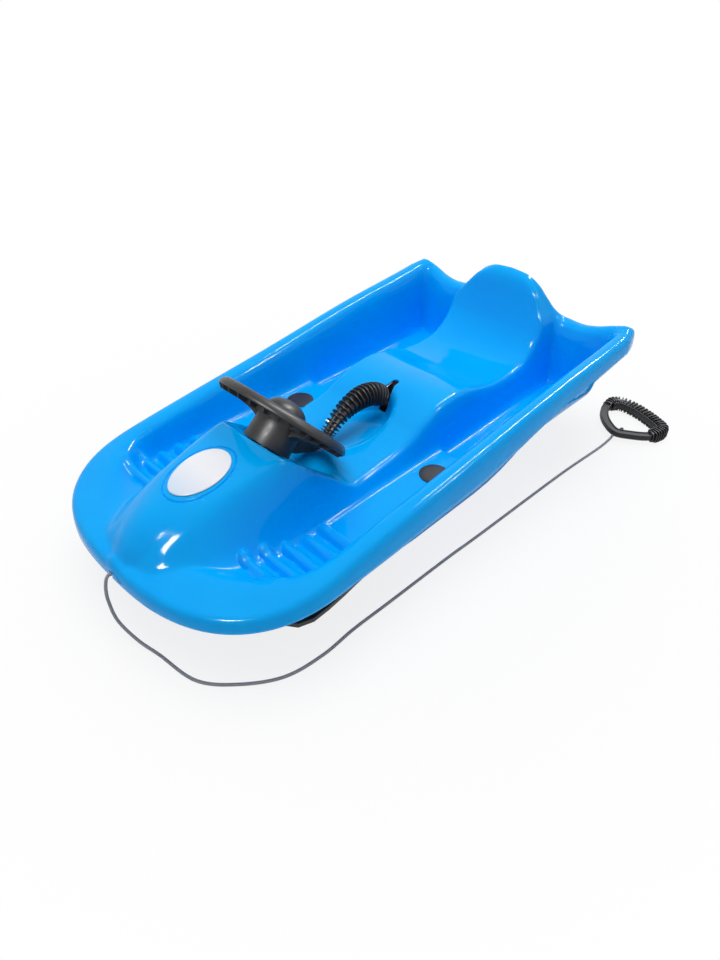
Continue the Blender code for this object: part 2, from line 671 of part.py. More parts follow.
BAR_HALF = KING_X + 0.013
bar = add("tie_bar", box((-BAR_HALF, BAR_Y - .014, .0462), (BAR_HALF, BAR_Y + .014, .0514)), BLACK, 0.5)
for side in (-1, 1):
    tag = "left" if side > 0 else "right"
    slot = box((side * KING_X - .0036, BAR_Y - .006, .04), (side * KING_X + .0036, BAR_Y + .009, .06))
    boolean(bar, cutter("cut_bar_slot_" + tag, *slot))
    cheek = box((side * .0092 - .0040, BAR_Y - .003, .050), (side * .0092 + .0040, BAR_Y + .014, .0650))
    boolean(bar, cutter("join_cheek_" + tag, *cheek), "UNION")

# Rear runners under the wells, and the round plugs that hold them through the floor.
PLUG_X = WELL_MID + 0.0025
PLUG_Y = 0.010
PLUG_R = WELL_WIDE / 2 - 0.0025
WELL_FLOOR = SHIFT_Z + 0.030
REAR_FLOOR = SHIFT_Z + 0.015
WELL_UNDER = WELL_FLOOR - SHELL - GAP
REAR_UNDER = REAR_FLOOR - SHELL - GAP
RUNNER_SIDE = [(-.150, WELL_UNDER), (-.150, .060), (-.140, .034), (-.118, .012), (-.090, .002), (-.060, 0),
               (.110, 0), (.150, .003), (.190, .011), (.225, .023), (.262, .040), (.300, .058), (.322, REAR_UNDER),
               (.100, REAR_UNDER), (.066, REAR_UNDER), (.066, WELL_UNDER)]


def runner(side):
    tag = "left" if side > 0 else "right"
    x0 = side * (PLUG_X - .026)
    x1 = side * (PLUG_X + .028)
    low = 0.045

    def place(x):
        def at(p):
            lean = (0.004 if abs(x) > PLUG_X else -0.004) * (1 - min(p[1] / low, 1.0))
            return (x - side * lean, p[0], p[1])
        return at

    obj = add("runner_" + tag, prism(RUNNER_SIDE, place(x0), place(x1)), BLUE, 0.2)
    mod = obj.modifiers.new("edge", "BEVEL")
    mod.width = .003
    mod.segments = 2
    mod.limit_method = "ANGLE"
    mod.angle_limit = math.radians(50)
    hole = lathe(rod(.0062, .070, .10), (side * PLUG_X, PLUG_Y, 0), (0, 0, 1), 20)
    boolean(obj, cutter("cut_runner_" + tag, *hole))
    floor_hole = lathe(rod(.0066, .070, .11), (side * PLUG_X, PLUG_Y, 0), (0, 0, 1), 20)
    boolean(hull_obj, cutter("cut_plug_" + tag, *floor_hole))
    top = WELL_FLOOR + GAP
    plug = [(0, .0712), (.0052, .0712), (.0058, .0740), (.0058, top), (PLUG_R - .0009, top), (PLUG_R, top + .0008),
            (PLUG_R - .0009, top + .0018), (PLUG_R - .0075, top + .0026), (0, top + .0028)]
    add("runner_plug_" + tag, lathe(plug, (side * PLUG_X, PLUG_Y, 0), (0, 0, 1), 28), BLACK, 0.5)


runner(1)
runner(-1)

# Brake: arched ribbed grip, neck through the slot, axle in a bracket, claw plate behind.
BRAKE_Y = 0.135
BRAKE_Z = 0.116
GRIP_PATH = ((-.0790, .1345), (-.069, .1435), (-.051, .156), (-.030, .1660), (-.008, .1712), (.016, .1718),
             (.040, .1665), (.058, .1575), (.070, .1465))


def smooth_path(points, per):
    """Catmull-Rom points through a list of (y, z) or (x, y, z) tuples."""
    pts = [Vector((0, *p)) if len(p) == 2 else Vector(p) for p in points]
    out = []
    for i in range(len(pts) - 1):
        a = pts[max(i - 1, 0)]
        b = pts[i]
        c = pts[i + 1]
        d = pts[min(i + 2, len(pts) - 1)]
        for k in range(per):
            t = k / per
            out.append(.5 * ((2 * b) + (c - a) * t + (2 * a - 5 * b + 4 * c - d) * t * t
                             + (3 * b - a - 3 * c + d) * t ** 3))
    out.append(pts[-1])
    return out


def grip():
    """Fins along the arch: the section's size alternates between web and fin."""
    spine = smooth_path(GRIP_PATH, 8)
    fins = 18
    path = []
    sizes = []
    steps = len(spine) - 1
    for k in range(fins):
        for part, thick in ((0.0, 1), (.38, 1), (.55, 0)):
            f = (k + part) / fins * steps
            i = min(int(f), steps - 1)
            path.append(spine[i].lerp(spine[i + 1], f - i))
            t = (k + part) / fins
            grown = .0115 + .0065 * step(.0, .75, t) - .004 * step(.85, 1.0, t)
            sizes.append(grown if thick else grown - .0042)
    path.append(spine[-1])
    sizes.append(.0095)
    return sweep(path, lambda i: circle(sizes[i], 10), up=(1, 0, 0))


lever = add("brake_lever", grip(), BLACK, 0.45)
neck = [(.052, .150), (.064, .165), (.078, .1665), (.096, .160), (.125, .134), (.143, .124), (.146, .114),
        (.140, .106), (.128, .107), (.112, .124), (.092, .141), (.068, .142)]
neck_shape = prism(neck, lambda p: (-.0055, p[0], p[1]), lambda p: (.0055, p[0], p[1]))
boolean(lever, cutter("join_neck", *neck_shape), "UNION")
tail = [(.127, .110), (.142, .125), (.182, .094), (.226, .062), (.219, .050), (.168, .076)]
tail_shape = prism(tail, lambda p: (-.0050, p[0], p[1]), lambda p: (.0050, p[0], p[1]))
boolean(lever, cutter("join_tail", *tail_shape), "UNION")
boolean(lever, cutter("cut_lever_bore", *lathe(rod(.0040 + GAP, -.03, .03), (0, BRAKE_Y, BRAKE_Z),
                                               (1, 0, 0), 20)))
claw = [(.182, .0755), (.214, .0545), (.243, .062), (.252, .030), (.241, .018), (.233, .044), (.210, .040),
        (.178, .060)]
add("brake_claw", prism(claw, lambda p: (.0050 + GAP, p[0], p[1]), lambda p: (.0080 + GAP, p[0], p[1])),
    STEEL, 0.35, 1.0)
for k, (ry, rz) in enumerate(((.191, .0670), (.212, .0540))):
    hole = lathe(rod(.0024, -.02, .02), (0, ry, rz), (1, 0, 0), 12)
    tool = cutter("cut_rivet_%d" % k, *hole)
    boolean(lever, tool)
    boolean(bpy.data.objects["brake_claw"], tool)
    rivet = [(0, -.0074), (.0030, -.0074), (.0042, -.0056), (.0020, -.0056), (.0020, .0090), (.0042, .0090),
             (.0030, .0106), (0, .0106)]
    add("claw_rivet_%d" % (k + 1), lathe(rivet, (0, ry, rz), (1, 0, 0), 12), STEEL, 0.3, 1.0)

add("brake_axle", lathe([(0, -.0245), (.0062, -.0245), (.0062, -.0225), (.0040, -.0225), (.0040, .0225),
                         (.0062, .0225), (.0062, .0245), (0, .0245)], (0, BRAKE_Y, BRAKE_Z), (1, 0, 0), 20),
    STEEL, 0.3, 1.0)
PLATE_TOP = 0.1550
brake_bracket = add("brake_bracket", box((-.034, .112, PLATE_TOP - .004), (.034, .170, PLATE_TOP)), BLACK)
for side in (-1, 1):
    tag = "left" if side > 0 else "right"
    cheek = [(.114, PLATE_TOP - .002), (.160, PLATE_TOP - .002), (.149, .102), (.121, .102)]
    shape = prism(cheek, lambda p: (side * .0175, p[0], p[1]), lambda p: (side * .0215, p[0], p[1]))
    boolean(brake_bracket, cutter("join_brake_cheek_" + tag, *shape), "UNION")
    for k, at in enumerate((.121, .161)):
        skin = tub_height(.028, at - SHIFT_Y) + SHIFT_Z
        under = skin - SHELL - .0024
        boss = lathe(rod(.0058, PLATE_TOP - .002, under), (side * .028, at, 0), (0, 0, 1), 14)
        boolean(brake_bracket, cutter("join_boss_%s_%d" % (tag, k), *boss), "UNION")
        hole = lathe(rod(.0022, .14, .19), (side * .028, at, 0), (0, 0, 1), 12)
        boolean(brake_bracket, cutter("cut_boss_%s_%d" % (tag, k), *hole))
        low = PLATE_TOP - .004 - GAP
        screw("brake_screw_%s_%d" % (tag, k + 1), side * .028, at, low, skin - .0020 - low, .0017, down=False)
        hull_hole = lathe(rod(.0022, .14, skin - .0014), (side * .028, at, 0), (0, 0, 1), 12)
        boolean(hull_obj, cutter("cut_hull_screw_%s_%d" % (tag, k), *hull_hole))
boolean(brake_bracket, cutter("cut_brake_axle", *lathe(rod(.0040 + GAP, -.03, .03), (0, BRAKE_Y, BRAKE_Z),
                                                       (1, 0, 0), 20)))
window = box((-.0125, .100, .140), (.0125, .159, .166))
boolean(brake_bracket, cutter("cut_brake_window", *window))

spring_path = []
for k in range(41):
    a = 2 * math.pi * 4 * k / 40
    spring_path.append((.0072 + .0088 * k / 40, BRAKE_Y + .0062 * math.cos(a), BRAKE_Z + .0062 * math.sin(a)))
add("brake_spring", sweep(spring_path, lambda i: circle(.0007, 5), up=(1, 0, 0)), STEEL, 0.3, 1.0)

slot_verts = [(.0155, .0635), (.0155, .092), (.0075, .097), (.0075, .122), (.0030, .137), (-.0030, .137),
              (-.0075, .122), (-.0075, .097), (-.0155, .092), (-.0155, .0635)]
slot_shape = prism(slot_verts, lambda p: (p[0], p[1], .1235), lambda p: (p[0], p[1], .19))
boolean(hull_obj, cutter("cut_brake_slot", *slot_shape))

# Rope slot in the nose, and hand grips cut in the skirt.
rope_slot = box((-.0029, -.5200, .0960), (.0029, -.4960, .1120))
boolean(hull_obj, cutter("cut_rope_slot", *rope_slot))
for side in (-1, 1):
    tag = "left" if side > 0 else "right"
    notch = [(.205, .10), (.214, .158), (.232, .172), (.288, .176), (.306, .166), (.316, .10)]
    shape = prism(notch, lambda p: (side * (CROWN_HALF + .009), p[0], p[1] - .012),
                  lambda p: (side * (CROWN_HALF + .051), p[0], p[1] - .012))
    boolean(hull_obj, cutter("cut_grip_" + tag, *shape))

# Badge: a blank oval plate that follows the hood, standing in its own moulded seat.
BADGE_Y = 0.178
BADGE_LONG = 0.055
BADGE_WIDE = 0.041


def badge():
    rings = 3
    seg = 24
    verts = []
    faces = []
    for lift in (.0010, .0022):
        for k in range(rings + 1):
            r = k / rings
            for j in range(seg):
                a = 2 * math.pi * j / seg
                x = BADGE_WIDE * r * math.cos(a) * (1 + .06 * math.sin(a))
                y = BADGE_Y + BADGE_LONG * r * math.sin(a)
                top = tub_height(x, y)
                verts.append((x, y + SHIFT_Y, top + lift + SHIFT_Z))
    layer = (rings + 1) * seg
    for base in (0, layer):
        for k in range(rings):
            for j in range(seg):
                m = (j + 1) % seg
                a = base + k * seg
                faces.append((a + j, a + m, a + seg + m, a + seg + j))
    last = rings * seg
    for j in range(seg):
        m = (j + 1) % seg
        faces.append((last + j, last + m, layer + last + m, layer + last + j))
    return verts, faces


badge_obj = add("badge", badge(), WHITE, 0.35)

# Tow rope: out of the nose slot, down to the ground and round the rider's left to the handle.
ROPE_R = 0.0025
ROPE_ROUTE = ((0, -.4997, .1085), (0, -.5050, .1080), (0, -.5115, .1030), (-.001, -.5165, .085), (0, -.519, .060),
              (.014, -.5195, .030), (.049, -.5125, .010), (.089, -.503, .0030), (.161, -.492, .0028),
              (.208, -.456, .0028), (.246, -.402, .0028), (.258, -.339, .0028), (.257, -.274, .0028),
              (.260, -.200, .0028), (.265, -.060, .0028), (.270, .028, .0028), (.281, .266, .0028),
              (.291, .394, .0028), (.2935, .436, .0060), (.2948, .4470, .0120), (.2968, .4540, .0145),
              (.2991, .4636, .0171))
rope_path = smooth_path(ROPE_ROUTE, 3)
add("tow_rope", sweep(rope_path, lambda i: circle(ROPE_R, 7), up=(0, 0, 1)), ROPE, 0.8)


def knot(name, centre, r, axis):
    ball_profile = [(0, -r), (r * .7, -r * .75), (r, -r * .2), (r, r * .2), (r * .7, r * .75), (0, r)]
    return add(name, lathe(ball_profile, centre, axis, 14), ROPE, 0.8)


knot("nose_knot", (0, -.4932, .1085), .0060, (0, 1, 0))
knot("handle_knot", (.3007, .4695, .0187), .0048, (.25, 1, .27))

# Pull handle lying on the ground: channel bow on the rope side, finned grip on the far side.
HANDLE_Z = 0.0165
HANDLE_ROUTE = ((.2965, .4545), (.272, .468), (.250, .492), (.237, .520), (.238, .546), (.252, .560), (.280, .5605),
                (.308, .549), (.334, .535), (.354, .520), (.3585, .502), (.349, .484), (.325, .467))


def handle():
    loop = [(x, y, HANDLE_Z) for x, y in HANDLE_ROUTE]
    pts = [Vector(p) for p in loop]
    n = len(pts)
    fine = []
    for i in range(n):
        a, b, c, d = (pts[(i + k) % n] for k in (-1, 0, 1, 2))
        for k in range(5):
            t = k / 5
            fine.append(.5 * ((2 * b) + (c - a) * t + (2 * a - 5 * b + 4 * c - d) * t * t
                              + (3 * b - a - 3 * c + d) * t ** 3))
    verts = []
    faces = []
    total = len(fine)
    for i, p in enumerate(fine):
        t = (fine[(i + 1) % total] - fine[i - 1]).normalized()
        side = Vector((t.y, -t.x, 0))
        share = i / total
        finned = .36 < share < .78
        wide = .0082
        tall = .0140
        if finned:
            wide = .0115 if i % 2 else .0085
            tall = .0145 if i % 2 else .0115
        ring = [(-wide, -tall * .6), (-wide * .6, -tall), (wide * .6, -tall), (wide, -tall * .6),
                (wide, tall * .6), (wide * .6, tall), (-wide * .6, tall), (-wide, tall * .6)]
        verts += [p + side * a + Vector((0, 0, b)) for a, b in ring]
    for i in range(total):
        j = (i + 1) % total
        for k in range(8):
            m = (k + 1) % 8
            faces.append((i * 8 + k, i * 8 + m, j * 8 + m, j * 8 + k))
    return verts, faces


handle_obj = add("pull_handle", handle(), BLACK, 0.45)
bore = lathe(rod(.0044, -.020, .018), (.2966, .4550, .0146), (.25, 1, .30), 14)
boolean(handle_obj, cutter("cut_handle_hole", *bore))

# The tail is set back from its crown line less than the nose is, so the whole sled moves to centre it.
CENTRE_SHIFT = 0.005
for placed in bpy.data.objects:
    placed.data.transform(Matrix.Translation((0, CENTRE_SHIFT, 0)))
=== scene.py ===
"""Looks of the steerable bob sled: glossy moulded tub, satin wheel and grips, rope and pull handle."""
import json
import math

import bmesh
import bpy
from mathutils import Matrix, Vector


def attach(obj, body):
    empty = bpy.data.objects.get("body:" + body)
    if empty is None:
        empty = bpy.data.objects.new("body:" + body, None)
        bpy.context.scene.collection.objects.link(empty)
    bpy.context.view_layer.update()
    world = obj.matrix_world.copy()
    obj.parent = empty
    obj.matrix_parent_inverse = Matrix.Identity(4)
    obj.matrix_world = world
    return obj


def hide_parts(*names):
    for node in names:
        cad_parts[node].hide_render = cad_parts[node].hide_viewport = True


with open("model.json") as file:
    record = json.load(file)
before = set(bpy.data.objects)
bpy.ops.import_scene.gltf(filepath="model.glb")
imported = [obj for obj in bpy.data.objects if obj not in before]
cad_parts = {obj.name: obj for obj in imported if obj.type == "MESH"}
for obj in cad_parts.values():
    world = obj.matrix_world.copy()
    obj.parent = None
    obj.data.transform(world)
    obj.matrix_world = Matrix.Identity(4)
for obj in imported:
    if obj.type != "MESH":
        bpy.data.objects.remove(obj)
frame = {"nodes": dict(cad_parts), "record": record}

scene = bpy.context.scene
nodes = frame["nodes"]


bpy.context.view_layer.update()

# The tub's formulas count y from the nose and z from 60 mm above the ground.
NOSE_SHIFT = -0.495
GROUND_SHIFT = 0.06


def eased(low, high, x):
    t = min(max((x - low) / (high - low), 0.0), 1.0)
    return t * t * (3 - 2 * t)


def plateau(start, full, ebb, end, x):
    """0 outside start and end, 1 between full and ebb, eased from one to the other."""
    return eased(start, full, x) * eased(end, ebb, x)


def through(keys, x):
    """Smooth curve through (x, value) keys that never swings past them."""
    if x <= keys[0][0]:
        return keys[0][1]
    if x >= keys[-1][0]:
        return keys[-1][1]
    i = max(k for k in range(len(keys) - 1) if keys[k][0] <= x)

    def slope(k):
        if k <= 0 or k >= len(keys) - 1:
            return 0.0
        before = (keys[k][1] - keys[k - 1][1]) / (keys[k][0] - keys[k - 1][0])
        after = (keys[k + 1][1] - keys[k][1]) / (keys[k + 1][0] - keys[k][0])
        return 0.0 if before * after <= 0 else 2 * before * after / (before + after)

    (x0, v0), (x1, v1) = keys[i], keys[i + 1]
    width = x1 - x0
    t = (x - x0) / width
    rise = v1 - v0
    m0 = slope(i) * width if i > 0 else rise
    m1 = slope(i + 1) * width if i + 1 < len(keys) - 1 else rise
    return v0 + m0 * (t - 2 * t * t + t ** 3) + rise * (3 * t * t - 2 * t ** 3) + m1 * (t ** 3 - t * t)


def bent_path(points, steps):
    """Catmull-Rom points through a list of points."""
    points = [Vector(p) for p in points]
    fine = []
    for i in range(len(points) - 1):
        a, b = points[max(i - 1, 0)], points[i]
        c, d = points[i + 1], points[min(i + 2, len(points) - 1)]
        for k in range(steps):
            t = k / steps
            fine.append(.5 * (2 * b + (c - a) * t + (2 * a - 5 * b + 4 * c - d) * t * t
                              + (3 * b - a - 3 * c + d) * t ** 3))
    return fine + [points[-1]]


# Materials


class Finish:
    """A node material with short calls for adding and joining nodes."""

    def __init__(self, name, colour, rough):
        self.mat = bpy.data.materials.new(name)
        self.mat.use_nodes = True
        self.tree = self.mat.node_tree
        self.shader = self.tree.nodes["Principled BSDF"]
        self.shader.inputs["Base Color"].default_value = (*colour, 1)
        self.shader.inputs["Roughness"].default_value = rough

    def node(self, kind, **settings):
        made = self.tree.nodes.new("ShaderNode" + kind)
        for key, value in settings.items():
            setattr(made, key, value)
        return made

    def join(self, out, into):
        self.tree.links.new(out, into)

    def noise(self, scale, detail):
        coords = self.node("TexCoord")
        texture = self.node("TexNoise")
        texture.inputs["Scale"].default_value = scale
        texture.inputs["Detail"].default_value = detail
        self.join(coords.outputs["Object"], texture.inputs["Vector"])
        return texture.outputs["Fac"]

    def spread(self, value, low, high, to_low=0, to_high=1):
        ranged = self.node("MapRange")
        self.join(value, ranged.inputs["Value"])
        limits = {"From Min": low, "From Max": high, "To Min": to_low, "To Max": to_high}
        for key, number in limits.items():
            ranged.inputs[key].default_value = number
        return ranged.outputs["Result"]

    def two_tone(self, share, first, second):
        mix = self.node("Mix", data_type="RGBA")
        self.join(share, mix.inputs["Factor"])
        mix.inputs["A"].default_value = (*first, 1)
        mix.inputs["B"].default_value = (*second, 1)
        self.join(mix.outputs["Result"], self.shader.inputs["Base Color"])

    def vary_roughness(self, noise, smooth, rough):
        self.join(self.spread(noise, .3, .7, smooth, rough), self.shader.inputs["Roughness"])

    def relief(self, height, distance, strength):
        bump = self.node("Bump")
        bump.inputs["Distance"].default_value = distance
        bump.inputs["Strength"].default_value = strength
        self.join(height, bump.inputs["Height"])
        self.join(bump.outputs["Normal"], self.shader.inputs["Normal"])

    def set(self, **sockets):
        for key, value in sockets.items():
            self.shader.inputs[key.replace("_", " ")].default_value = value
        return self


def gloss_blue():
    finish = Finish("gloss_blue_plastic", (0.0, 0.41, 0.98), 0.1)
    mottle = finish.spread(finish.noise(scale=9.0, detail=3), .35, .65)
    finish.two_tone(mottle, (0.0, 0.395, 0.98), (0.0, 0.420, 0.99))
    finish.vary_roughness(finish.noise(scale=38.0, detail=4), .06, .11)
    finish.relief(finish.noise(scale=55.0, detail=2), distance=.0003, strength=.08)
    return finish.set(Specular_IOR_Level=.09).mat


def satin_plastic(name, dark, light, rough, grain):
    finish = Finish(name, dark, rough)
    finish.two_tone(finish.spread(finish.noise(scale=30.0, detail=5), .3, .7), dark, light)
    finish.vary_roughness(finish.noise(scale=140.0, detail=3), rough - .05, rough + .07)
    finish.relief(finish.noise(grain, detail=2), distance=.0003, strength=.35)
    return finish.set(Specular_IOR_Level=.3).mat


def zinc_steel():
    finish = Finish("zinc_steel", (0.55, 0.56, 0.58), 0.3)
    spangle = finish.spread(finish.noise(scale=220.0, detail=4), .3, .7)
    finish.two_tone(spangle, (0.46, 0.47, 0.50), (0.62, 0.63, 0.65))
    finish.vary_roughness(finish.noise(scale=90.0, detail=3), .22, .42)
    return finish.set(Metallic=1.0).mat


def braided_rope():
    """Two helices of waves in the rope's own UV make the braid's diamonds."""
    finish = Finish("braided_rope", (0.25, 0.27, 0.30), 0.75)
    uv = finish.node("TexCoord")
    weave = finish.node("Math", operation="MAXIMUM")
    for k, lean in enumerate((1, -1)):
        turn = finish.node("Mapping")
        turn.inputs["Scale"].default_value = (4.0, lean * 4.0, 1)
        finish.join(uv.outputs["UV"], turn.inputs["Vector"])
        wave = finish.node("TexWave", bands_direction="DIAGONAL")
        wave.inputs["Scale"].default_value = 0.5
        wave.inputs["Distortion"].default_value = 0.0
        finish.join(turn.outputs["Vector"], wave.inputs["Vector"])
        finish.join(wave.outputs["Fac"], weave.inputs[k])
    finish.two_tone(finish.spread(weave.outputs[0], .3, 1), (0.14, 0.15, 0.18), (0.36, 0.38, 0.42))
    finish.relief(weave.outputs[0], distance=.0005, strength=.8)
    return finish.set(Sheen_Weight=.2).mat


LABEL_FADE_Y = (-.386, -.330)


def blank_label():
    """A bare oval plate: off-white above, fading to a pale blue at the nose end."""
    finish = Finish("blank_label", (0.84, 0.86, 0.92), 0.3)
    coords = finish.node("TexCoord")
    split = finish.node("SeparateXYZ")
    finish.join(coords.outputs["Object"], split.inputs["Vector"])
    fade = finish.spread(split.outputs["Y"], *LABEL_FADE_Y)
    finish.two_tone(fade, (0.62, 0.76, 0.93), (0.87, 0.88, 0.93))
    return finish.mat


BLUE = gloss_blue()
WHEEL_GREY = satin_plastic("satin_grey_plastic", dark=(0.024, 0.0235, 0.0235), light=(0.038, 0.037, 0.037),
                           rough=0.38, grain=900.0)
GRIP_BLACK = satin_plastic("satin_black_plastic", dark=(0.012, 0.012, 0.014), light=(0.024, 0.024, 0.027),
                           rough=0.40, grain=700.0)
STEEL = zinc_steel()
ROPE = braided_rope()
LABEL = blank_label()

# Helpers for new pieces


def finished(name, bm, body, look, stands_for=(), sharp=35):
    """Turns the bmesh into a named piece that rides on a body and may replace CAD nodes."""
    mesh = bpy.data.meshes.new(name)
    for face in bm.faces:
        face.smooth = True
    bm.to_mesh(mesh)
    bm.free()
    mesh.set_sharp_from_angle(angle=math.radians(sharp))
    piece = bpy.data.objects.new(name, mesh)
    scene.collection.objects.link(piece)
    mesh.materials.append(look)
    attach(piece, body)
    if stands_for:
        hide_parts(*stands_for)
    return piece


def bevelled(piece, width, segments, angle):
    """Rounds a piece's edges where its faces meet at more than an angle in degrees."""
    edge = piece.modifiers.new("edge", "BEVEL")
    edge.width = width
    edge.segments = segments
    edge.limit_method = "ANGLE"
    edge.angle_limit = math.radians(angle)


def round_off(bm, edges, offset, segments):
    bmesh.ops.bevel(bm, geom=edges, offset=offset, segments=segments, profile=.5, affect="EDGES", material=-1)


def creases(bm):
    return [e for e in bm.edges if e.is_manifold and e.calc_face_angle() > math.radians(35)]


def verts_of(made):
    return [g for g in made if isinstance(g, bmesh.types.BMVert)]


def merge_in(bm, made):
    """Adds a second bmesh to the first and frees it."""
    mesh = bpy.data.meshes.new("part")
    made.to_mesh(mesh)
    made.free()
    bm.from_mesh(mesh)
    bpy.data.meshes.remove(mesh)


def face_up(bm):
    """Turns the faces of a sheet over if most of them look down."""
    if sum(f.normal.z for f in bm.faces) < 0:
        bmesh.ops.reverse_faces(bm, faces=bm.faces)


def frame_at(place, side, top):
    """The matrix that turns X, Y and Z to a side, a top and their normal, and moves them to a place."""
    turn = Matrix((side, top, side.cross(top))).transposed().to_4x4()
    return Matrix.Translation(place) @ turn


def flat_plate(bm, outline, place, thick):
    """Adds a plate: an outline of flat points, each put in space by place, extruded by a vector."""
    made = bmesh.new()
    face = made.faces.new([made.verts.new(place(p)) for p in outline])
    copy = bmesh.ops.extrude_face_region(made, geom=[face])["geom"]
    bmesh.ops.translate(made, verts=verts_of(copy), vec=Vector(thick))
    bmesh.ops.recalc_face_normals(made, faces=made.faces)
    merge_in(bm, made)


def draped_grid(columns, rows, place, closed=True):
    """A grid whose points are placed by their share across and along; where closed, its edges meet."""
    bm = bmesh.new()
    bm.loops.layers.uv.new("UVMap")
    bmesh.ops.create_grid(bm, x_segments=columns, y_segments=rows, size=0.5, calc_uvs=True)
    for v in bm.verts:
        v.co = place(v.co.x + .5, v.co.y + .5)
    if closed:
        bmesh.ops.remove_doubles(bm, verts=bm.verts, dist=1e-6)
    return bm


def spun(bm, outline, closed, steps):
    """Adds an outline of (radius, height) points, closed or open, spun about Z."""
    points = [bm.verts.new((r, 0, h)) for r, h in outline]
    edges = [bm.edges.new(pair) for pair in zip(points, points[1:])]
    if closed:
        edges.append(bm.edges.new((points[-1], points[0])))
    bmesh.ops.spin(bm, geom=points + edges, cent=(0, 0, 0), axis=(0, 0, 1), angle=2 * math.pi,
                   steps=steps, use_merge=True)
    bmesh.ops.remove_doubles(bm, verts=bm.verts, dist=1e-6)
    bmesh.ops.recalc_face_normals(bm, faces=bm.faces)


def turned(profile, centre, axis, steps=64, rounding=0.0):
    """A (radius, height) profile spun about an axis; its sharp edges may be rounded."""
    bm = bmesh.new()
    has_bore = profile[0][0] > 0 and profile[-1][0] > 0
    spun(bm, profile, has_bore, steps)
    if rounding:
        round_off(bm, creases(bm), rounding, 3)
    turn = Vector((0, 0, 1)).rotation_difference(Vector(axis)).to_matrix().to_4x4()
    bmesh.ops.transform(bm, matrix=Matrix.Translation(Vector(centre)) @ turn, verts=bm.verts)
    return bm


def stations(path, up, endless=False):
    """Point, side and top direction at each point of a path."""
    out = []
    side = None
    count = len(path)
    for i, p in enumerate(path):
        if endless:
            t = path[(i + 1) % count] - path[i - 1]
        else:
            t = path[min(i + 1, count - 1)] - path[max(i - 1, 0)]
        t.normalize()
        side = Vector(up).cross(t) if side is None or endless else side - t * side.dot(t)
        side.normalize()
        out.append((p, side, t.cross(side)))
    return out


def drawn_bar(path, section, sides, up=(0, 0, 1), endless=False):
    """A bar drawn along a path; section(share along, angle) gives a point's steps to the side and up."""
    track = stations(path, up, endless)
    last = len(track) if endless else len(track) - 1

    def place(across, along):
        i = round(along * last)
        p, side, top = track[i % len(track)]
        a, b = section(i / last, 2 * math.pi * across)
        return p + side * a + top * b

    bm = draped_grid(sides, last, place)
    if not endless:
        bmesh.ops.holes_fill(bm, edges=[e for e in bm.edges if e.is_boundary], sides=0)
    bmesh.ops.recalc_face_normals(bm, faces=bm.faces)
    return bm


def round_section(radius):
    return lambda share, a: (radius * math.cos(a), radius * math.sin(a))


# Camera, fitted to the tub's mirrored outline: no shift, no blur.
VIEW_POINT = Vector((0.7156, -0.7276, 0.8106))
VIEW_RIGHT = Vector((0.7176, 0.6965, -0.0006))
VIEW_UP = Vector((-0.4361, 0.4500, 0.7793))
camera_data = bpy.data.cameras.new("camera")
camera_data.lens = 25.31
camera_data.sensor_width = 36.0
camera = bpy.data.objects.new("camera", camera_data)
scene.collection.objects.link(camera)
camera.matrix_world = frame_at(VIEW_POINT, VIEW_RIGHT, VIEW_UP)
scene.camera = camera

# Tow rope and its knots. LIES is the height of the rope's middle where it lies on the floor.
LIES = 0.0028
ROPE_R = 0.0025
ROPE_SIDES = 16
BRAID_PITCH = 4.4 * ROPE_R
BRAID_ROUND = 2
ROPE_ROUTE = ((0, -.4947, .1085), (0, -.5000, .1080), (0, -.5065, .1030), (-.001, -.5115, .085),
              (0, -.514, .060), (.014, -.5145, .030), (.049, -.5075, .010), (.089, -.498, .0030),
              (.161, -.487, LIES), (.208, -.451, LIES), (.246, -.397, LIES), (.258, -.334, LIES),
              (.257, -.269, LIES), (.260, -.195, LIES), (.265, -.055, LIES), (.270, .033, LIES),
              (.281, .271, LIES), (.291, .399, LIES), (.2935, .441, .0060), (.2948, .4520, .0120),
              (.2968, .4590, .0145), (.2991, .4686, .0171))
rope_line = bent_path(ROPE_ROUTE, 16)
rope_length = sum((b - a).length for a, b in zip(rope_line, rope_line[1:]))


def braid_uv(bm, track):
    """Lays the UV out so that the braid has the same pitch all along the rope."""
    uv = bm.loops.layers.uv.verify()
    reach = [0.0]
    for a, b in zip(track, track[1:]):
        reach.append(reach[-1] + (b - a).length)
    for face in bm.faces:
        for loop in face.loops:
            across, along = loop[uv].uv
            loop[uv].uv = (across * BRAID_ROUND, reach[round(along * (len(track) - 1))] / BRAID_PITCH)


def tow_rope():
    bm = drawn_bar(rope_line, round_section(ROPE_R), ROPE_SIDES, up=(1, 0, 0))
    braid_uv(bm, rope_line)
    return finished("tow_rope_braid", bm, "sled", ROPE, ["tow_rope"])


def tied_knot(node, centre, size, strand, axis):
    """An overhand knot drawn up tight: a trefoil of rope inside the space of its bead."""
    turn = Vector((0, 0, 1)).rotation_difference(Vector(axis)).to_matrix()
    line = []
    count = 90
    for k in range(count):
        a = 2 * math.pi * k / count
        trefoil = Vector(((math.sin(a) + 2 * math.sin(2 * a)) / 3, (math.cos(a) - 2 * math.cos(2 * a)) / 3,
                          -math.sin(3 * a) * .62))
        line.append(Vector(centre) + turn @ (trefoil * (size - strand)))
    bm = drawn_bar(line, round_section(strand), 12, endless=True)
    return finished(node + "_tied", bm, "sled", ROPE, [node])


rope = tow_rope()
nose_knot = tied_knot("nose_knot", (0, -.4882, .1085), size=.0060, strand=.0020, axis=(0, 1, 0))
handle_knot = tied_knot("handle_knot", (.3007, .4745, .0187), size=.0048, strand=.0016, axis=(.25, 1, .27))

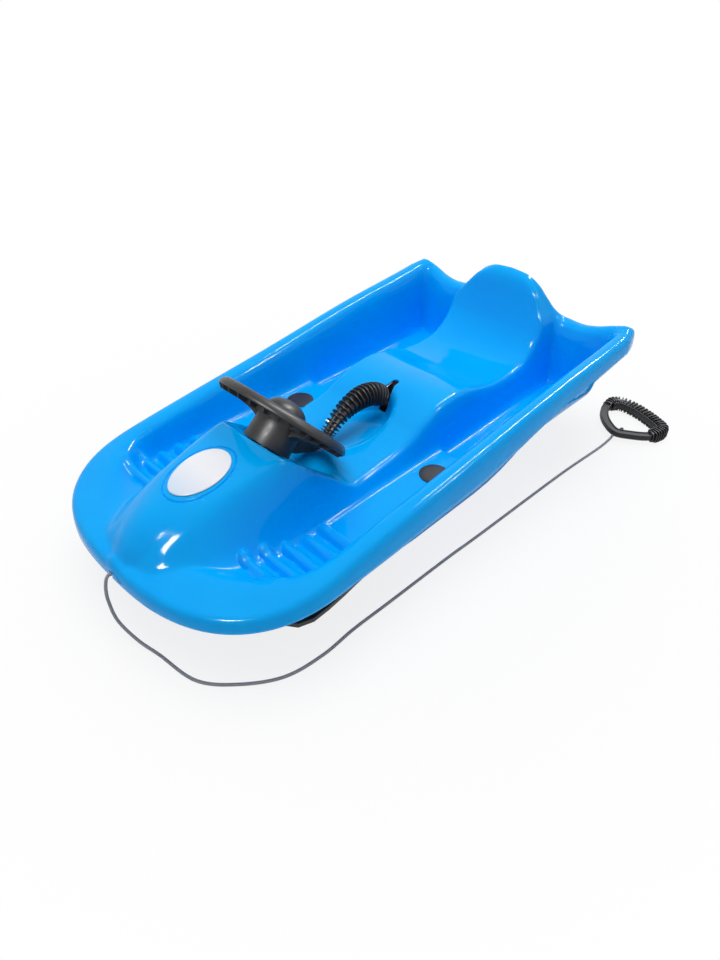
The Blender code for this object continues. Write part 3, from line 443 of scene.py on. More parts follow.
# Tub. Lists of pairs are keys for through(). They give heights and half widths along the length y or
# out from the middle (TAIL_RIM and TAIL_HEM), and in both walls the share climbed over the distance.
SHELL = 0.0035
CROWN_HALF = 0.249
CROWN_FLARE = 0.013 / 0.8
NOSE_POWER = 2.6
NOSE_END = 0.211
NOSE_DEPTH = 0.199
CORNER_X = 0.195
TAIL_Y = 0.978
TAIL_HOLLOW = 0.028
TAIL_HORN = 0.010
CORNER_ROUND = 0.034
WALL_BLEND = 0.008


def crown_half(y):
    """Half the width between the rim's crown lines."""
    if y < NOSE_END:
        f = min((NOSE_END - y) / NOSE_DEPTH, 1.0)
        return CROWN_HALF * (1 - f ** NOSE_POWER) ** (1 / NOSE_POWER)
    return CROWN_HALF + CROWN_FLARE * (y - NOSE_END)


def nose_line(a):
    return NOSE_END - NOSE_DEPTH * (1 - (a / CROWN_HALF) ** NOSE_POWER) ** (1 / NOSE_POWER)


def tail_line(a):
    return TAIL_Y - TAIL_HOLLOW * eased(0.136, 0.060, a) + TAIL_HORN * eased(0.165, 0.235, a)


CORNER_Y = nose_line(CORNER_X)

# Rim, well floor and the walls between them.
RIM = [(0, .065), (.06, .066), (.12, .073), (.25, .090), (.5, .117), (.75, .145), (.93, .159), (1, .168)]
TAIL_RIM = [(0, .224), (.033, .221), (.065, .207), (.087, .181), (.105, .158), (.126, .146), (.157, .143),
            (.19, .148), (.225, .160), (.25, .168), (.28, .168)]
FLOOR = [(0, .060), (.05, .060), (.09, .058), (.125, .051), (.16, .040), (.195, .032), (.225, .030),
         (.572, .030), (.592, .015), (1, .015)]
WALL = [(0, 0), (.010, .02), (.018, .07), (.024, .18), (.029, .40), (.034, .70), (.039, .90),
        (.045, .985), (.0505, 1), (.3, 1)]
RIB_Y = (.145, .179, .213, .247, .281)
RIB_HEIGHT = (.0135, .0132, .0125, .0122, .0122)
RIB_HALF = 0.0122
RIB_IN = 0.1400
RIB_IN_FRONT = 0.020
RIB_OUT = 0.1990
RIB_BLUNT = 0.8

# Hood: its top, its shoulder and its foot, then the slope down to the console.
HOOD_TOP = [(0, .062), (.012, .070), (.03, .088), (.06, .1075), (.1, .122), (.14, .1325), (.18, .1395),
            (.22, .1450), (.258, .149), (.5, .149)]
HOOD_SHOULDER = [(0, .020), (.03, .034), (.06, .042), (.1, .053), (.14, .061), (.18, .067), (.22, .072),
                 (.258, .077), (.35, .080)]
HOOD_FOOT = [(0, .07), (.03, .090), (.06, .106), (.1, .124), (.15, .133), (.2, .136), (.4, .136)]
HOOD_SAG = 0.012
HOOD_SAG_LESS = 0.008
HOOD_CROWN_SHARE = 0.9
HOOD_EDGE_Y = 0.258
HOOD_EDGE_Z = 0.149
HOOD_BACK_SLOPE = 1.07
HOOD_BACK_EASE = 0.22
HOOD_BACK_ROUND = 0.004

# Console, finger scoop, seat and backrest.
CONSOLE_TOP = [(.2, .056), (.39, .057), (.43, .060), (.467, .063), (.503, .069), (.525, .075),
               (.545, .084), (.572, .094), (.6, .1015), (.64, .105), (.675, .101), (.719, .090),
               (.762, .081), (.80, .078), (.83, .0785), (.85, .082), (.868, .0895), (.884, .1015),
               (.9, .122), (.912, .147), (.922, .172), (.931, .198), (.94, .216), (.95, .222), (1, .224)]
CONSOLE_HALF = [(.2, .116), (.87, .115), (.906, .115), (1, .119)]
CONSOLE_WALL = [(-.012, 0), (-.005, .05), (.001, .20), (.007, .52), (.013, .83), (.019, .97), (.0245, 1)]
DECK_CROWN = 0.004
DECK_CROWN_SPAN = (.46, .54, .60, .66)
DECK_BLEND = 0.006
SEAT_DISH = 0.010
SEAT_SPAN = (.66, .75, .84, .90)
BACKREST_Y = 0.86
BACKREST_UNDER_RIM = 0.002
SCOOP_Y = 0.488
SCOOP_Z = 0.0545
SCOOP_LONG = 0.098
SCOOP_WIDE = 0.054

# Badge: the oval that the plate lies in, and the groove round it, at a share of the oval.
BADGE_Y = 0.164
BADGE_LONG = 0.055
BADGE_WIDE = 0.041
PLATE_SHARE = 0.94
PLATE_THICK = 0.0026
PLATE_FLAT = 0.72
PLATE_ROLL = 0.0016
PLATE_ROLL_WIDE = 0.035
PLATE_EGG = 0.06
GROOVE_AT = 1.09
GROOVE_HALF = 0.035
GROOVE_DEEP = 0.0024


def soft_max(a, b, k):
    d = max(k - abs(a - b), 0.0)
    return max(a, b) + d * d / (4 * k)


def foot_blend(k, first, second):
    """A blend that fades out where both forms run down to the floor."""
    return k * eased(0, .02, max(first, second)) + 1e-6


def floor_height(x, y):
    """The well floor with its foot ribs, which reach further in toward the nose."""
    z = through(FLOOR, y)
    a = abs(x)
    for rib_y, rib_height in zip(RIB_Y, RIB_HEIGHT):
        rib_in = RIB_IN - RIB_IN_FRONT * eased(.25, RIB_Y[0], rib_y)
        d = math.hypot(max(rib_in - a, 0, a - RIB_OUT), y - rib_y)
        if d < RIB_HALF:
            z += rib_height * math.cos(math.pi / 2 * d / RIB_HALF) ** RIB_BLUNT
    return z


def hood_height(a, y):
    """The hood before its back is cut: a crown that sags to its shoulder and then falls to its foot."""
    base = through(FLOOR, y)
    shoulder = through(HOOD_SHOULDER, y)
    sag = HOOD_SAG - HOOD_SAG_LESS * eased(.06, .26, y)
    crown = through(HOOD_TOP, y) - sag * min(a / max(shoulder, .004), 1.0) ** 2
    return base + (crown - base) * (1 - eased(shoulder * HOOD_CROWN_SHARE, through(HOOD_FOOT, y), a))


def deck_height(a, y):
    """Console, finger scoop, seat and backrest."""
    base = through(FLOOR, y)
    if y < HOOD_EDGE_Y:
        return base
    half = through(CONSOLE_HALF, y)
    top = through(CONSOLE_TOP, y)
    inside = max(1 - (a / half) ** 2, 0.0)
    top += DECK_CROWN * inside * plateau(*DECK_CROWN_SPAN, y)
    top -= SEAT_DISH * inside * plateau(*SEAT_SPAN, y)
    if y > BACKREST_Y:
        top = -soft_max(-top, BACKREST_UNDER_RIM - through(TAIL_RIM, a), DECK_BLEND)
    if top > SCOOP_Z:
        scoop = math.hypot(a / SCOOP_WIDE, (y - SCOOP_Y) / SCOOP_LONG)
        top += (SCOOP_Z - top) * eased(1.0, .74, scoop)
    return base + (top - base) * (1 - through(CONSOLE_WALL, a - half))


def island_height(x, y):
    """How far the hood and the deck behind it stand above the well floor."""
    a = abs(x)
    base = through(FLOOR, y)
    slope = HOOD_BACK_SLOPE - HOOD_BACK_EASE * eased(.048, .080, a)
    back = HOOD_EDGE_Z - slope * (y - HOOD_EDGE_Y)
    hood = -soft_max(-hood_height(a, y), -back, HOOD_BACK_ROUND) - base
    deck = deck_height(a, y) - base
    return max(soft_max(hood, deck, foot_blend(DECK_BLEND, hood, deck)), 0.0)


def tub_height(x, y):
    """Height of the tub's upper surface above its own base line."""
    a = abs(x)
    side = crown_half(y) - a
    if y < NOSE_END:
        across, along = a / CROWN_HALF, (NOSE_END - y) / NOSE_DEPTH
        f = (across ** NOSE_POWER + along ** NOSE_POWER) ** (1 / NOSE_POWER)
        side = (1 - f) * (NOSE_DEPTH + (CROWN_HALF - NOSE_DEPTH) * min(across, 1) ** 2)
    side = max(side, 0.0)
    rear = max(tail_line(a) - y, 0.0)
    share = (side + 1e-6) / (side + rear + 2e-6)
    rim = through(RIM, y) * (1 - share) + through(TAIL_RIM, a) * share
    dist = min(side, rear)
    if dist < CORNER_ROUND:
        gap = math.hypot(CORNER_ROUND - min(side, CORNER_ROUND), CORNER_ROUND - min(rear, CORNER_ROUND))
        dist = max(CORNER_ROUND - gap, 0.0)
    base = floor_height(x, y)
    nose_stretch = 1 + eased(.21, .08, y)
    wall = (rim - base) * (1 - through(WALL, dist / nose_stretch))
    island = island_height(x, y)
    return base + soft_max(wall, island, foot_blend(WALL_BLEND, wall, island))


# The grid's rows along the middle and its columns across, close together where the form is tight.
ROWS = (.012, .030, .055, .085, .115, .132, .1405, .1495, .162, .1745, .1835, .196, .2085, .2175, .230,
        .2425, .2515, .260, .268, .2765, .2855, .300, .320, .345, .39, .43, .47, .51, .54, .560, .574, .592,
        .62, .66, .70, .75, .80, .84, .865, .885, .900, .912, .922, .933, .945)
COLUMNS = (0, .035, .070, .098, .110, .119, .128, .1435, .172, .2030, .2135, .222, .231, .2555)
ROW_CORNER_SPAN = 0.25
TAIL_INSET = 0.006
TAIL_PULL_FROM = 0.88
TAIL_PULL = 0.6
CUTS = 5


def row_point(u, y0):
    """Plan position of the share u across, on the row that meets the middle at y0."""
    y1 = y0
    if y0 < ROW_CORNER_SPAN:
        y1 = CORNER_Y + (y0 - ROWS[0]) * (ROW_CORNER_SPAN - CORNER_Y) / (ROW_CORNER_SPAN - ROWS[0])
    half = crown_half(y1) if y0 > ROWS[0] else CORNER_X
    x = u * half
    bow = (CORNER_Y - nose_line(u * CORNER_X)) / (CORNER_Y - nose_line(0))
    tail = TAIL_PULL * eased(TAIL_PULL_FROM, ROWS[-1], y0) * (tail_line(x) - TAIL_Y)
    return Vector((x, y1 - (y1 - y0) * bow + tail))


def tub_plan(across, along):
    """Plan position for a share across (-X to +X) and a share along (nose to tail)."""
    side = across * 2 - 1
    place = abs(side) * (len(COLUMNS) - 1)
    i = min(int(place), len(COLUMNS) - 2)
    u = (COLUMNS[i] + (COLUMNS[i + 1] - COLUMNS[i]) * (place - i)) / COLUMNS[-1]
    row = along * len(ROWS)
    k = min(int(row), len(ROWS) - 1)
    f = row - k
    if k < len(ROWS) - 1:
        p = row_point(u, ROWS[k] + (ROWS[k + 1] - ROWS[k]) * f)
    else:
        x = u * (crown_half(TAIL_Y) - TAIL_INSET)
        end = Vector((x, tail_line(x) - TAIL_INSET * eased(.6, 1.0, u)))
        p = row_point(u, ROWS[-1]).lerp(end, f)
    return Vector((math.copysign(p.x, side), p.y))


def badge_reach(x, y):
    """0 in the middle of the badge's oval and 1 on it."""
    return math.hypot(x / BADGE_WIDE, (y - BADGE_Y) / BADGE_LONG)


def on_tub(x, y):
    groove = GROOVE_DEEP * eased(GROOVE_HALF, 0, abs(badge_reach(x, y) - GROOVE_AT))
    return Vector((x, y, tub_height(x, y) - groove))


# The rim's roll: how far out and how far down it goes, then the skirt's hem along the sides and tail.
ROLL_OUT = [(0, 0), (.2, .006), (.45, .0118), (.7, .0148), (1, .0160)]
ROLL_DROP = [(0, 0), (.2, .04), (.45, .20), (.7, .52), (1, 1)]
HEM = [(0, .040), (.1, .046), (.2, .050), (.3, .053), (.36, .057), (.5, .063), (.6, .081), (.7, .101),
       (.83, .115), (1, .136)]
TAIL_HEM = [(0, .118), (.2, .118), (.26, .130), (.3, .130)]
ROLL_STEPS = 12


def signed_area(ring):
    return sum(a[0] * b[1] - b[0] * a[1] for a, b in zip(ring, ring[1:] + ring[:1]))


def edge_ring(bm):
    """The vertices of the bmesh's one open edge, in order round it."""
    edges = [e for e in bm.edges if e.is_boundary]
    v = edges[0].verts[0]
    ring = []
    before = None
    while not ring or v != ring[0]:
        ring.append(v)
        around = [e.other_vert(v) for e in v.link_edges if e.is_boundary]
        before, v = v, around[0] if around[0] is not before else around[1]
    return ring, edges


def roll_rim_out(bm):
    """The rim rolls out and down from its crown line to the skirt's hem."""
    ring, edges = edge_ring(bm)
    crown = {v: v.co.copy() for v in ring}
    turn = 1 if signed_area([v.co for v in ring]) > 0 else -1
    out = {}
    for k, v in enumerate(ring):
        t = (ring[(k + CUTS) % len(ring)].co - ring[k - CUTS].co) * turn
        out[v] = Vector((t.y, -t.x, 0)).normalized()
    now = {v: v for v in ring}
    for i in range(1, ROLL_STEPS + 1):
        share = i / ROLL_STEPS
        made = bmesh.ops.extrude_edge_only(bm, edges=edges)["geom"]
        edges = [g for g in made if isinstance(g, bmesh.types.BMEdge) and g.is_boundary]
        source = {}
        for g in verts_of(made):
            for e in g.link_edges:
                if e.other_vert(g) in now:
                    source[g] = now[e.other_vert(g)]
        for g, first in source.items():
            top = crown[first]
            p = top + out[first] * through(ROLL_OUT, share)
            at_tail = eased(.95, .985, p.y)
            hem = through(HEM, p.y) * (1 - at_tail) + through(TAIL_HEM, abs(p.x)) * at_tail
            p.z = top.z + (hem - top.z) * through(ROLL_DROP, share)
            g.co = p
        now = source


def open_hole(bm, outline, flat, near):
    """Cuts an outline through the skin: bisects along its sides and deletes what is inside.

    flat(point) gives a point's place in the outline's plane; near(point) picks the skin that is cut.
    """
    sides = list(zip(outline, outline[1:] + outline[:1]))
    turn = 1 if signed_area(outline) > 0 else -1
    origin = flat(Vector((0, 0, 0)))
    steps = [Vector(step) for step in ((1, 0, 0), (0, 1, 0), (0, 0, 1))]
    rows = [[flat(step)[i] - origin[i] for step in steps] for i in (0, 1)]
    for a, b in sides:
        normal = ((b[1] - a[1]) * turn, -(b[0] - a[0]) * turn)
        across = Vector([rows[0][i] * normal[0] + rows[1][i] * normal[1] for i in range(3)])
        shift = normal[0] * (a[0] - origin[0]) + normal[1] * (a[1] - origin[1])
        point = across * (shift / across.length_squared)
        faces = [f for f in bm.faces if near(f.calc_center_median())]
        geom = faces + list({e for f in faces for e in f.edges}) + list({v for f in faces for v in f.verts})
        bmesh.ops.bisect_plane(bm, geom=geom, dist=1e-7, plane_co=point, plane_no=across)

    def inside(p):
        x, y = flat(p)
        hit = False
        for (x0, y0), (x1, y1) in sides:
            if (y0 > y) != (y1 > y) and x < x0 + (x1 - x0) * (y - y0) / (y1 - y0):
                hit = not hit
        return hit

    gone = [f for f in bm.faces if near(f.calc_center_median()) and inside(f.calc_center_median())]
    bmesh.ops.delete(bm, geom=gone, context="FACES")


# The steering column leans back by TILT; HUB is the middle of the wheel.
TILT = math.radians(47.5)
AXIS = Vector((0, math.sin(TILT), math.cos(TILT)))
ARM_DIR = Vector((0, math.cos(TILT), -math.sin(TILT)))
HUB = Vector((0, -0.167, 0.214))
COLUMN_HOLE_R = 0.0116
COLUMN_HOLE = [(COLUMN_HOLE_R * math.cos(math.pi * k / 12), COLUMN_HOLE_R * math.sin(math.pi * k / 12))
               for k in range(24)]
BRAKE_SLOT = [(.0085, .0685), (.0085, .090), (.0070, .094), (.0070, .105), (.0035, .110), (-.0035, .110),
              (-.0070, .105), (-.0070, .094), (-.0085, .090), (-.0085, .0685)]
ROPE_HOLE = [(-.0029, .09), (.0029, .09), (.0029, .112), (-.0029, .112)]
SKIRT_GRIP = [(.210, .08), (.219, .146), (.237, .160), (.293, .164), (.311, .154), (.321, .08)]

# Finer cuts round the badge's groove: each ring's reach and how often its edges are cut.
GROOVE_CUTS = ((.96, 1.22, 3), (1.03, 1.15, 1))
GROOVE_AREA = 1.5


def tub():
    bm = draped_grid(CUTS * 2 * (len(COLUMNS) - 1), CUTS * len(ROWS),
                     lambda across, along: on_tub(*tub_plan(across, along)), closed=False)
    bmesh.ops.recalc_face_normals(bm, faces=bm.faces)
    face_up(bm)
    for inner, outer, cuts in GROOVE_CUTS:
        ring = [e for e in bm.edges if inner < badge_reach(*e.verts[0].co.xy) < outer]
        bmesh.ops.subdivide_edges(bm, edges=ring, cuts=cuts, use_grid_fill=True)
    for v in bm.verts:
        if badge_reach(*v.co.xy) < GROOVE_AREA:
            v.co = on_tub(*v.co.xy)
    roll_rim_out(bm)
    bmesh.ops.translate(bm, verts=bm.verts, vec=(0, NOSE_SHIFT, GROUND_SHIFT))
    open_hole(bm, BRAKE_SLOT, lambda p: (p.x, p.y), lambda p: abs(p.x) < .022 and .05 < p.y < .15)
    open_hole(bm, ROPE_HOLE, lambda p: (p.x, p.z), lambda p: p.y < -.480 and abs(p.x) < .02 and p.z < .122)
    open_hole(bm, COLUMN_HOLE, lambda p: (p.x, ARM_DIR.dot(p - HUB)),
              lambda p: abs(p.x) < .03 and -.26 < p.y < -.17 and p.z > .14)
    for side in (1, -1):
        open_hole(bm, SKIRT_GRIP, lambda p: (p.y, p.z), lambda p: p.x * side > .268 and .19 < p.y < .34)
    piece = finished("tub", bm, "sled", BLUE, ["hull"], sharp=40)
    wall = piece.modifiers.new("wall", "SOLIDIFY")
    wall.thickness = SHELL
    wall.offset = -1


tub()


def badge_plate():
    """A blank oval plate with a rolled edge, lying on the hood."""
    def place(across, along):
        a = 2 * math.pi * across
        roll = max(along - PLATE_FLAT, 0) / (1 - PLATE_FLAT)
        lift = PLATE_THICK - PLATE_ROLL * roll ** 2
        reach = min(along / PLATE_FLAT, 1.0) * (1 - PLATE_ROLL_WIDE)
        reach = PLATE_SHARE * (reach + PLATE_ROLL_WIDE * math.sin(roll * math.pi / 2))
        x = BADGE_WIDE * reach * math.cos(a) * (1 + PLATE_EGG * math.sin(a))
        y = BADGE_Y + BADGE_LONG * reach * math.sin(a)
        return Vector((x, y + NOSE_SHIFT, tub_height(x, y) + lift + GROUND_SHIFT))

    bm = draped_grid(72, 25, place)
    face_up(bm)
    finished("badge_plate", bm, "sled", LABEL, ["badge"])


badge_plate()

# Steering wheel, its domed cap and the column's sleeve, with Z along the column from the hub.
RIM_MID = 0.1025
RIM_HALF = 0.0125
RIM_SECTION = ((-1, -.0085), (-.99, -.0030), (-.93, .0020), (-.76, .0065), (-.46, .0098), (0, .0112),
               (.46, .0098), (.76, .0065), (.95, .0020), (1, -.0010), (.97, -.0028), (.38, -.0100),
               (-.92, -.0100))
CELLS = 28
STEPS_PER_CELL = 6
CELL_WALL = 0.0011
CELL_TOP = 0.0050
CELL_DRAFT = 0.72
HUB_PROFILE = [(.0085, -.011), (.026, -.011), (.034, -.006), (.0345, -.001), (.0335, .0030),
               (.0300, .0055), (.0085, .0055)]
SPOKE_FROM = 0.022
SPOKE_TO = 0.0975
SPOKE_HALF = [(0, .021), (.45, .0155), (1, .020)]
SPOKE_TOP = [(0, .0040), (.45, .0046), (.8, .0052), (1, .0056)]
SPOKE_FALL = 0.0022
SPOKE_THICK = 0.0105
SIDE_WEB = ((.0368, -.0040), (.0368, -.0240), (.0420, -.0205), (.0500, -.0168), (.0600, -.0141),
            (.0720, -.0122), (.0860, -.0110), (.0920, -.0105), (.0920, -.0040))
REAR_WEB = ((.0368, -.0040), (.0368, -.0460), (.0620, -.0400), (.0980, -.0235), (.1110, -.0130),
            (.1110, -.0065), (.0940, -.0050))
WEB_HALF = 0.011
CAP_PROFILE = [(0, .0062), (.0348, .0062), (.0354, .0082), (.0348, .0115), (.0326, .0158), (.0290, .0200),
               (.0242, .0237), (.0182, .0266), (.0116, .0285), (.0055, .0295), (0, .0298)]
SLEEVE_PROFILE = [(.0085, -.0180), (.0355, -.0180), (.0382, -.0530), (.0412, -.0530), (.0402, -.0320),
                  (.0390, -.0080), (.0382, -.0045), (.0360, -.0045), (.0360, -.0117), (.0085, -.0117)]


def wheel_rim():
    """The rim: smooth above, with a ring of moulding pockets in its underside."""
    bm = bmesh.new()
    section = [(RIM_MID + RIM_HALF * r, h) for r, h in RIM_SECTION]
    spun(bm, section, closed=True, steps=CELLS * STEPS_PER_CELL)
    cells = [[] for _ in range(CELLS)]
    for f in bm.faces:
        c = f.calc_center_median()
        if f.normal.z < -.5:
            cells[int((math.atan2(c.y, c.x) / (2 * math.pi)) % 1 * CELLS)].append(f)
    for faces in cells:
        bmesh.ops.inset_region(bm, faces=faces, thickness=CELL_WALL, use_even_offset=True)
        deep = bmesh.ops.extrude_face_region(bm, geom=faces)["geom"]
        bmesh.ops.delete(bm, geom=[f for f in faces if f.is_valid], context="FACES_ONLY")
        for v in verts_of(deep):
            reach = math.hypot(v.co.x, v.co.y)
            share = (RIM_MID + (reach - RIM_MID) * CELL_DRAFT) / reach
            v.co = (v.co.x * share, v.co.y * share, CELL_TOP)
    return bm


def wheel_spoke(web, degrees):
    """A crowned spoke, waisted in the middle, with a web under it."""
    bm = bmesh.new()
    bmesh.ops.create_grid(bm, x_segments=12, y_segments=6, size=0.5)
    for v in bm.verts:
        along, across = v.co.x + .5, v.co.y * 2
        v.co = (SPOKE_FROM + along * (SPOKE_TO - SPOKE_FROM), across * through(SPOKE_HALF, along),
                through(SPOKE_TOP, along) - SPOKE_FALL * across ** 4)
    thick = bmesh.ops.extrude_face_region(bm, geom=bm.faces[:])["geom"]
    bmesh.ops.translate(bm, verts=verts_of(thick), vec=(0, 0, -SPOKE_THICK))
    bmesh.ops.recalc_face_normals(bm, faces=bm.faces)
    flat_plate(bm, web, lambda p: (p[0], -WEB_HALF, p[1]), (0, 2 * WEB_HALF, 0))
    turn = Matrix.Rotation(math.radians(degrees), 3, "Z")
    bmesh.ops.rotate(bm, verts=bm.verts, cent=(0, 0, 0), matrix=turn)
    return bm


def wheel():
    bm = wheel_rim()
    merge_in(bm, turned(HUB_PROFILE, (0, 0, 0), (0, 0, 1)))
    for degrees, web in ((0, SIDE_WEB), (90, REAR_WEB), (180, SIDE_WEB)):
        merge_in(bm, wheel_spoke(web, degrees))
    bmesh.ops.transform(bm, matrix=frame_at(HUB, Vector((1, 0, 0)), ARM_DIR), verts=bm.verts)
    piece = finished("wheel", bm, "steering", WHEEL_GREY, ["steering_wheel"], sharp=40)
    bevelled(piece, width=.0007, segments=2, angle=40)


def wheel_dome():
    bm = turned(CAP_PROFILE, HUB, AXIS, 72)
    finished("wheel_dome", bm, "steering", WHEEL_GREY, ["wheel_cap"], sharp=60)


def column_sleeve():
    bm = turned(SLEEVE_PROFILE, HUB, AXIS, 72, rounding=.0005)
    finished("column_sleeve", bm, "steering", WHEEL_GREY, ["column_collar"])


wheel()
wheel_dome()
column_sleeve()

# Floor plugs in the wells: a peg below the floor and a low dome on it.
WELL_TOP = 0.0904
PLUG_X = 0.172
PLUG_Y = 0.015
PEG_PROFILE = [(0, .0712), (.0052, .0712), (.0058, .0740), (.0058, WELL_TOP), (.0256, WELL_TOP)]
DOME_PROFILE = ((.0265, .0006), (.0262, .0014), (.0245, .0021), (.0190, .0026), (.009, .0028), (0, .0028))


def well_plug(tag, side):
    profile = PEG_PROFILE + [(r, WELL_TOP + h) for r, h in DOME_PROFILE]
    bm = turned(profile, (side * PLUG_X, PLUG_Y, 0), (0, 0, 1))
    finished("well_plug_" + tag, bm, "sled", GRIP_BLACK, ["runner_plug_" + tag])


well_plug("left", 1)
well_plug("right", -1)

# Brake: discs on a cross-shaped core along the grip's arch, its neck, its tail and the slot's guide.
ARCH = ((0, -.0740, .1345), (0, -.064, .1435), (0, -.046, .156), (0, -.025, .1660), (0, -.003, .1712),
        (0, .018, .1718), (0, .038, .1680), (0, .055, .1595), (0, .066, .1495))
FINS = 21
FINS_END = 0.95
FIN_THICK = 0.0020
FIN_ROUND = 0.0006
FIN_FRONT = 0.0138
FIN_GROWS = 0.0078
FIN_SHRINKS = 0.0050
CORE_IN = 0.0042
NECK = [(.050, .152), (.057, .160), (.067, .158), (.080, .150), (.095, .139), (.116, .132), (.135, .128),
        (.148, .124), (.151, .114), (.145, .106), (.133, .107), (.117, .117), (.097, .126), (.075, .138)]
NECK_HALF = 0.0055
TAIL = [(.132, .110), (.147, .125), (.187, .094), (.231, .062), (.224, .050), (.173, .076)]
TAIL_HALF = 0.0050
CHEEK = [(.067, .101), (.067, .107), (.075, .117), (.085, .135), (.100, .151), (.113, .154), (.113, .101)]
GUIDE_HALF = 0.0150
GUIDE_WALL = 0.0014
GUIDE_LOW = 0.0990
GUIDE_FLOOR_THICK = 0.0016
GUIDE_FLOOR = [(-GUIDE_HALF, .067), (GUIDE_HALF, .067), (GUIDE_HALF, .113), (-GUIDE_HALF, .113)]


def fin_radius(share):
    return FIN_FRONT + FIN_GROWS * eased(0, .70, share) - FIN_SHRINKS * eased(.88, 1.0, share)


def brake_grip():
    line = bent_path(ARCH, 12)
    track = stations(line, (1, 0, 0))
    bm = bmesh.new()
    for k in range(FINS):
        share = FINS_END * k / (FINS - 1)
        radius = fin_radius(share)
        disc = bmesh.new()
        bmesh.ops.create_cone(disc, cap_ends=True, segments=40, radius1=radius, radius2=radius,
                              depth=FIN_THICK)
        round_off(disc, creases(disc), FIN_ROUND, 2)
        station = frame_at(*track[round(share * (len(track) - 1))])
        bmesh.ops.transform(disc, matrix=station, verts=disc.verts)
        merge_in(bm, disc)

    def cross(share, a):
        radius = (fin_radius(share) - CORE_IN) * (1 - .25 * eased(.95, 1, share))
        reach = radius * (.62 + .36 * max(abs(math.cos(a)), abs(math.sin(a))) ** 9)
        return reach * math.cos(a), reach * math.sin(a)

    merge_in(bm, drawn_bar(line, cross, 48, up=(1, 0, 0)))
    finished("brake_grip", bm, "brake", GRIP_BLACK, ["brake_lever"])


def brake_arm():
    bm = bmesh.new()
    for outline, half in ((NECK, NECK_HALF), (TAIL, TAIL_HALF)):
        flat_plate(bm, outline, lambda p: (-half, p[0], p[1]), (2 * half, 0, 0))
    piece = finished("brake_arm", bm, "brake", GRIP_BLACK)
    bevelled(piece, width=.0012, segments=3, angle=20)


def brake_slot_guide_and_shade():
    """Black guide channel under the slot, so the lever runs into the dark and not into daylight; its black is
    also painted shade for the inside of the hull.
    """
    bm = bmesh.new()
    for x in (-GUIDE_HALF, GUIDE_HALF - GUIDE_WALL):
        flat_plate(bm, CHEEK, lambda p: (x, p[0], p[1]), (GUIDE_WALL, 0, 0))
    flat_plate(bm, GUIDE_FLOOR, lambda p: (p[0], p[1], GUIDE_LOW), (0, 0, GUIDE_FLOOR_THICK))
    # The guide is real, but its black also stands in as painted shade for the dark inside the hull under the
    # slot.
    finished("brake_slot_guide_and_shade", bm, "sled", GRIP_BLACK)


brake_grip()
brake_arm()
brake_slot_guide_and_shade()

# Pull handle: a channelled bow on the rope's side and a ridged grip, from one share of the ring to
# another, on the far side. The sections hold steps inward and up, with as many points in both.
HANDLE_Z = 0.0165
HANDLE_ROUTE = ((.2965, .4595), (.272, .473), (.250, .497), (.237, .525), (.238, .551), (.252, .565),
                (.280, .5655), (.311, .557), (.339, .545), (.361, .530), (.3585, .507), (.349, .489),
                (.325, .472))
HANDLE_STEPS = 18
BOW = ((-.0082, -.0040), (-.0045, -.0085), (.0030, -.0085), (.0082, -.0035), (.0082, .0050),
       (.0074, .0063), (.0056, .0063), (.0050, .0044), (-.0050, .0044), (-.0058, .0063), (-.0074, .0063),
       (-.0082, .0050))
CORE = ((-.0072, -.0085), (-.0052, -.0098), (.0052, -.0098), (.0066, -.0085), (.0066, .0085),
        (.0060, .0093), (.0050, .0098), (.0035, .0098), (-.0035, .0098), (-.0050, .0098), (-.0062, .0093),
        (-.0072, .0085))
GRIP_FROM = 0.27
GRIP_TO = 0.82
GRIP_SPAN = (GRIP_FROM - .015, GRIP_FROM + .005, GRIP_TO - .005, GRIP_TO + .015)
RIDGES = 29
RIDGE_WIDE = 0.0190
RIDGE_TALL = 0.0200
RIDGE_THICK = 0.0022
RIDGE_ROUND = 0.0068
RIDGE_OUT = 0.0014
BAND_IN = 0.0107
BAND_UP = 0.0036
BAND_HALF = (.0014, .0062)
BAND_SQUARE = 0.5


def handle_ridge(station, grown):
    """One rounded ridge across the grip; the end ones are smaller."""
    p, side, top = station
    bm = bmesh.new()
    bmesh.ops.create_cube(bm, size=1.0)
    size = (RIDGE_WIDE + .0040 * grown, RIDGE_TALL + .0080 * grown, RIDGE_THICK)
    bmesh.ops.scale(bm, verts=bm.verts, vec=size)
    uprights = [e for e in bm.edges if abs(e.verts[0].co.z - e.verts[1].co.z) > RIDGE_THICK / 2]
    round_off(bm, uprights, RIDGE_ROUND, 4)
    bmesh.ops.transform(bm, matrix=frame_at(p + side * RIDGE_OUT, side, top), verts=bm.verts)
    return bm


def band_section(share, a):
    """An oval squared toward a rectangle."""
    around = (math.cos(a), math.sin(a))
    return [half * math.copysign(abs(f) ** BAND_SQUARE, f) for half, f in zip(BAND_HALF, around)]


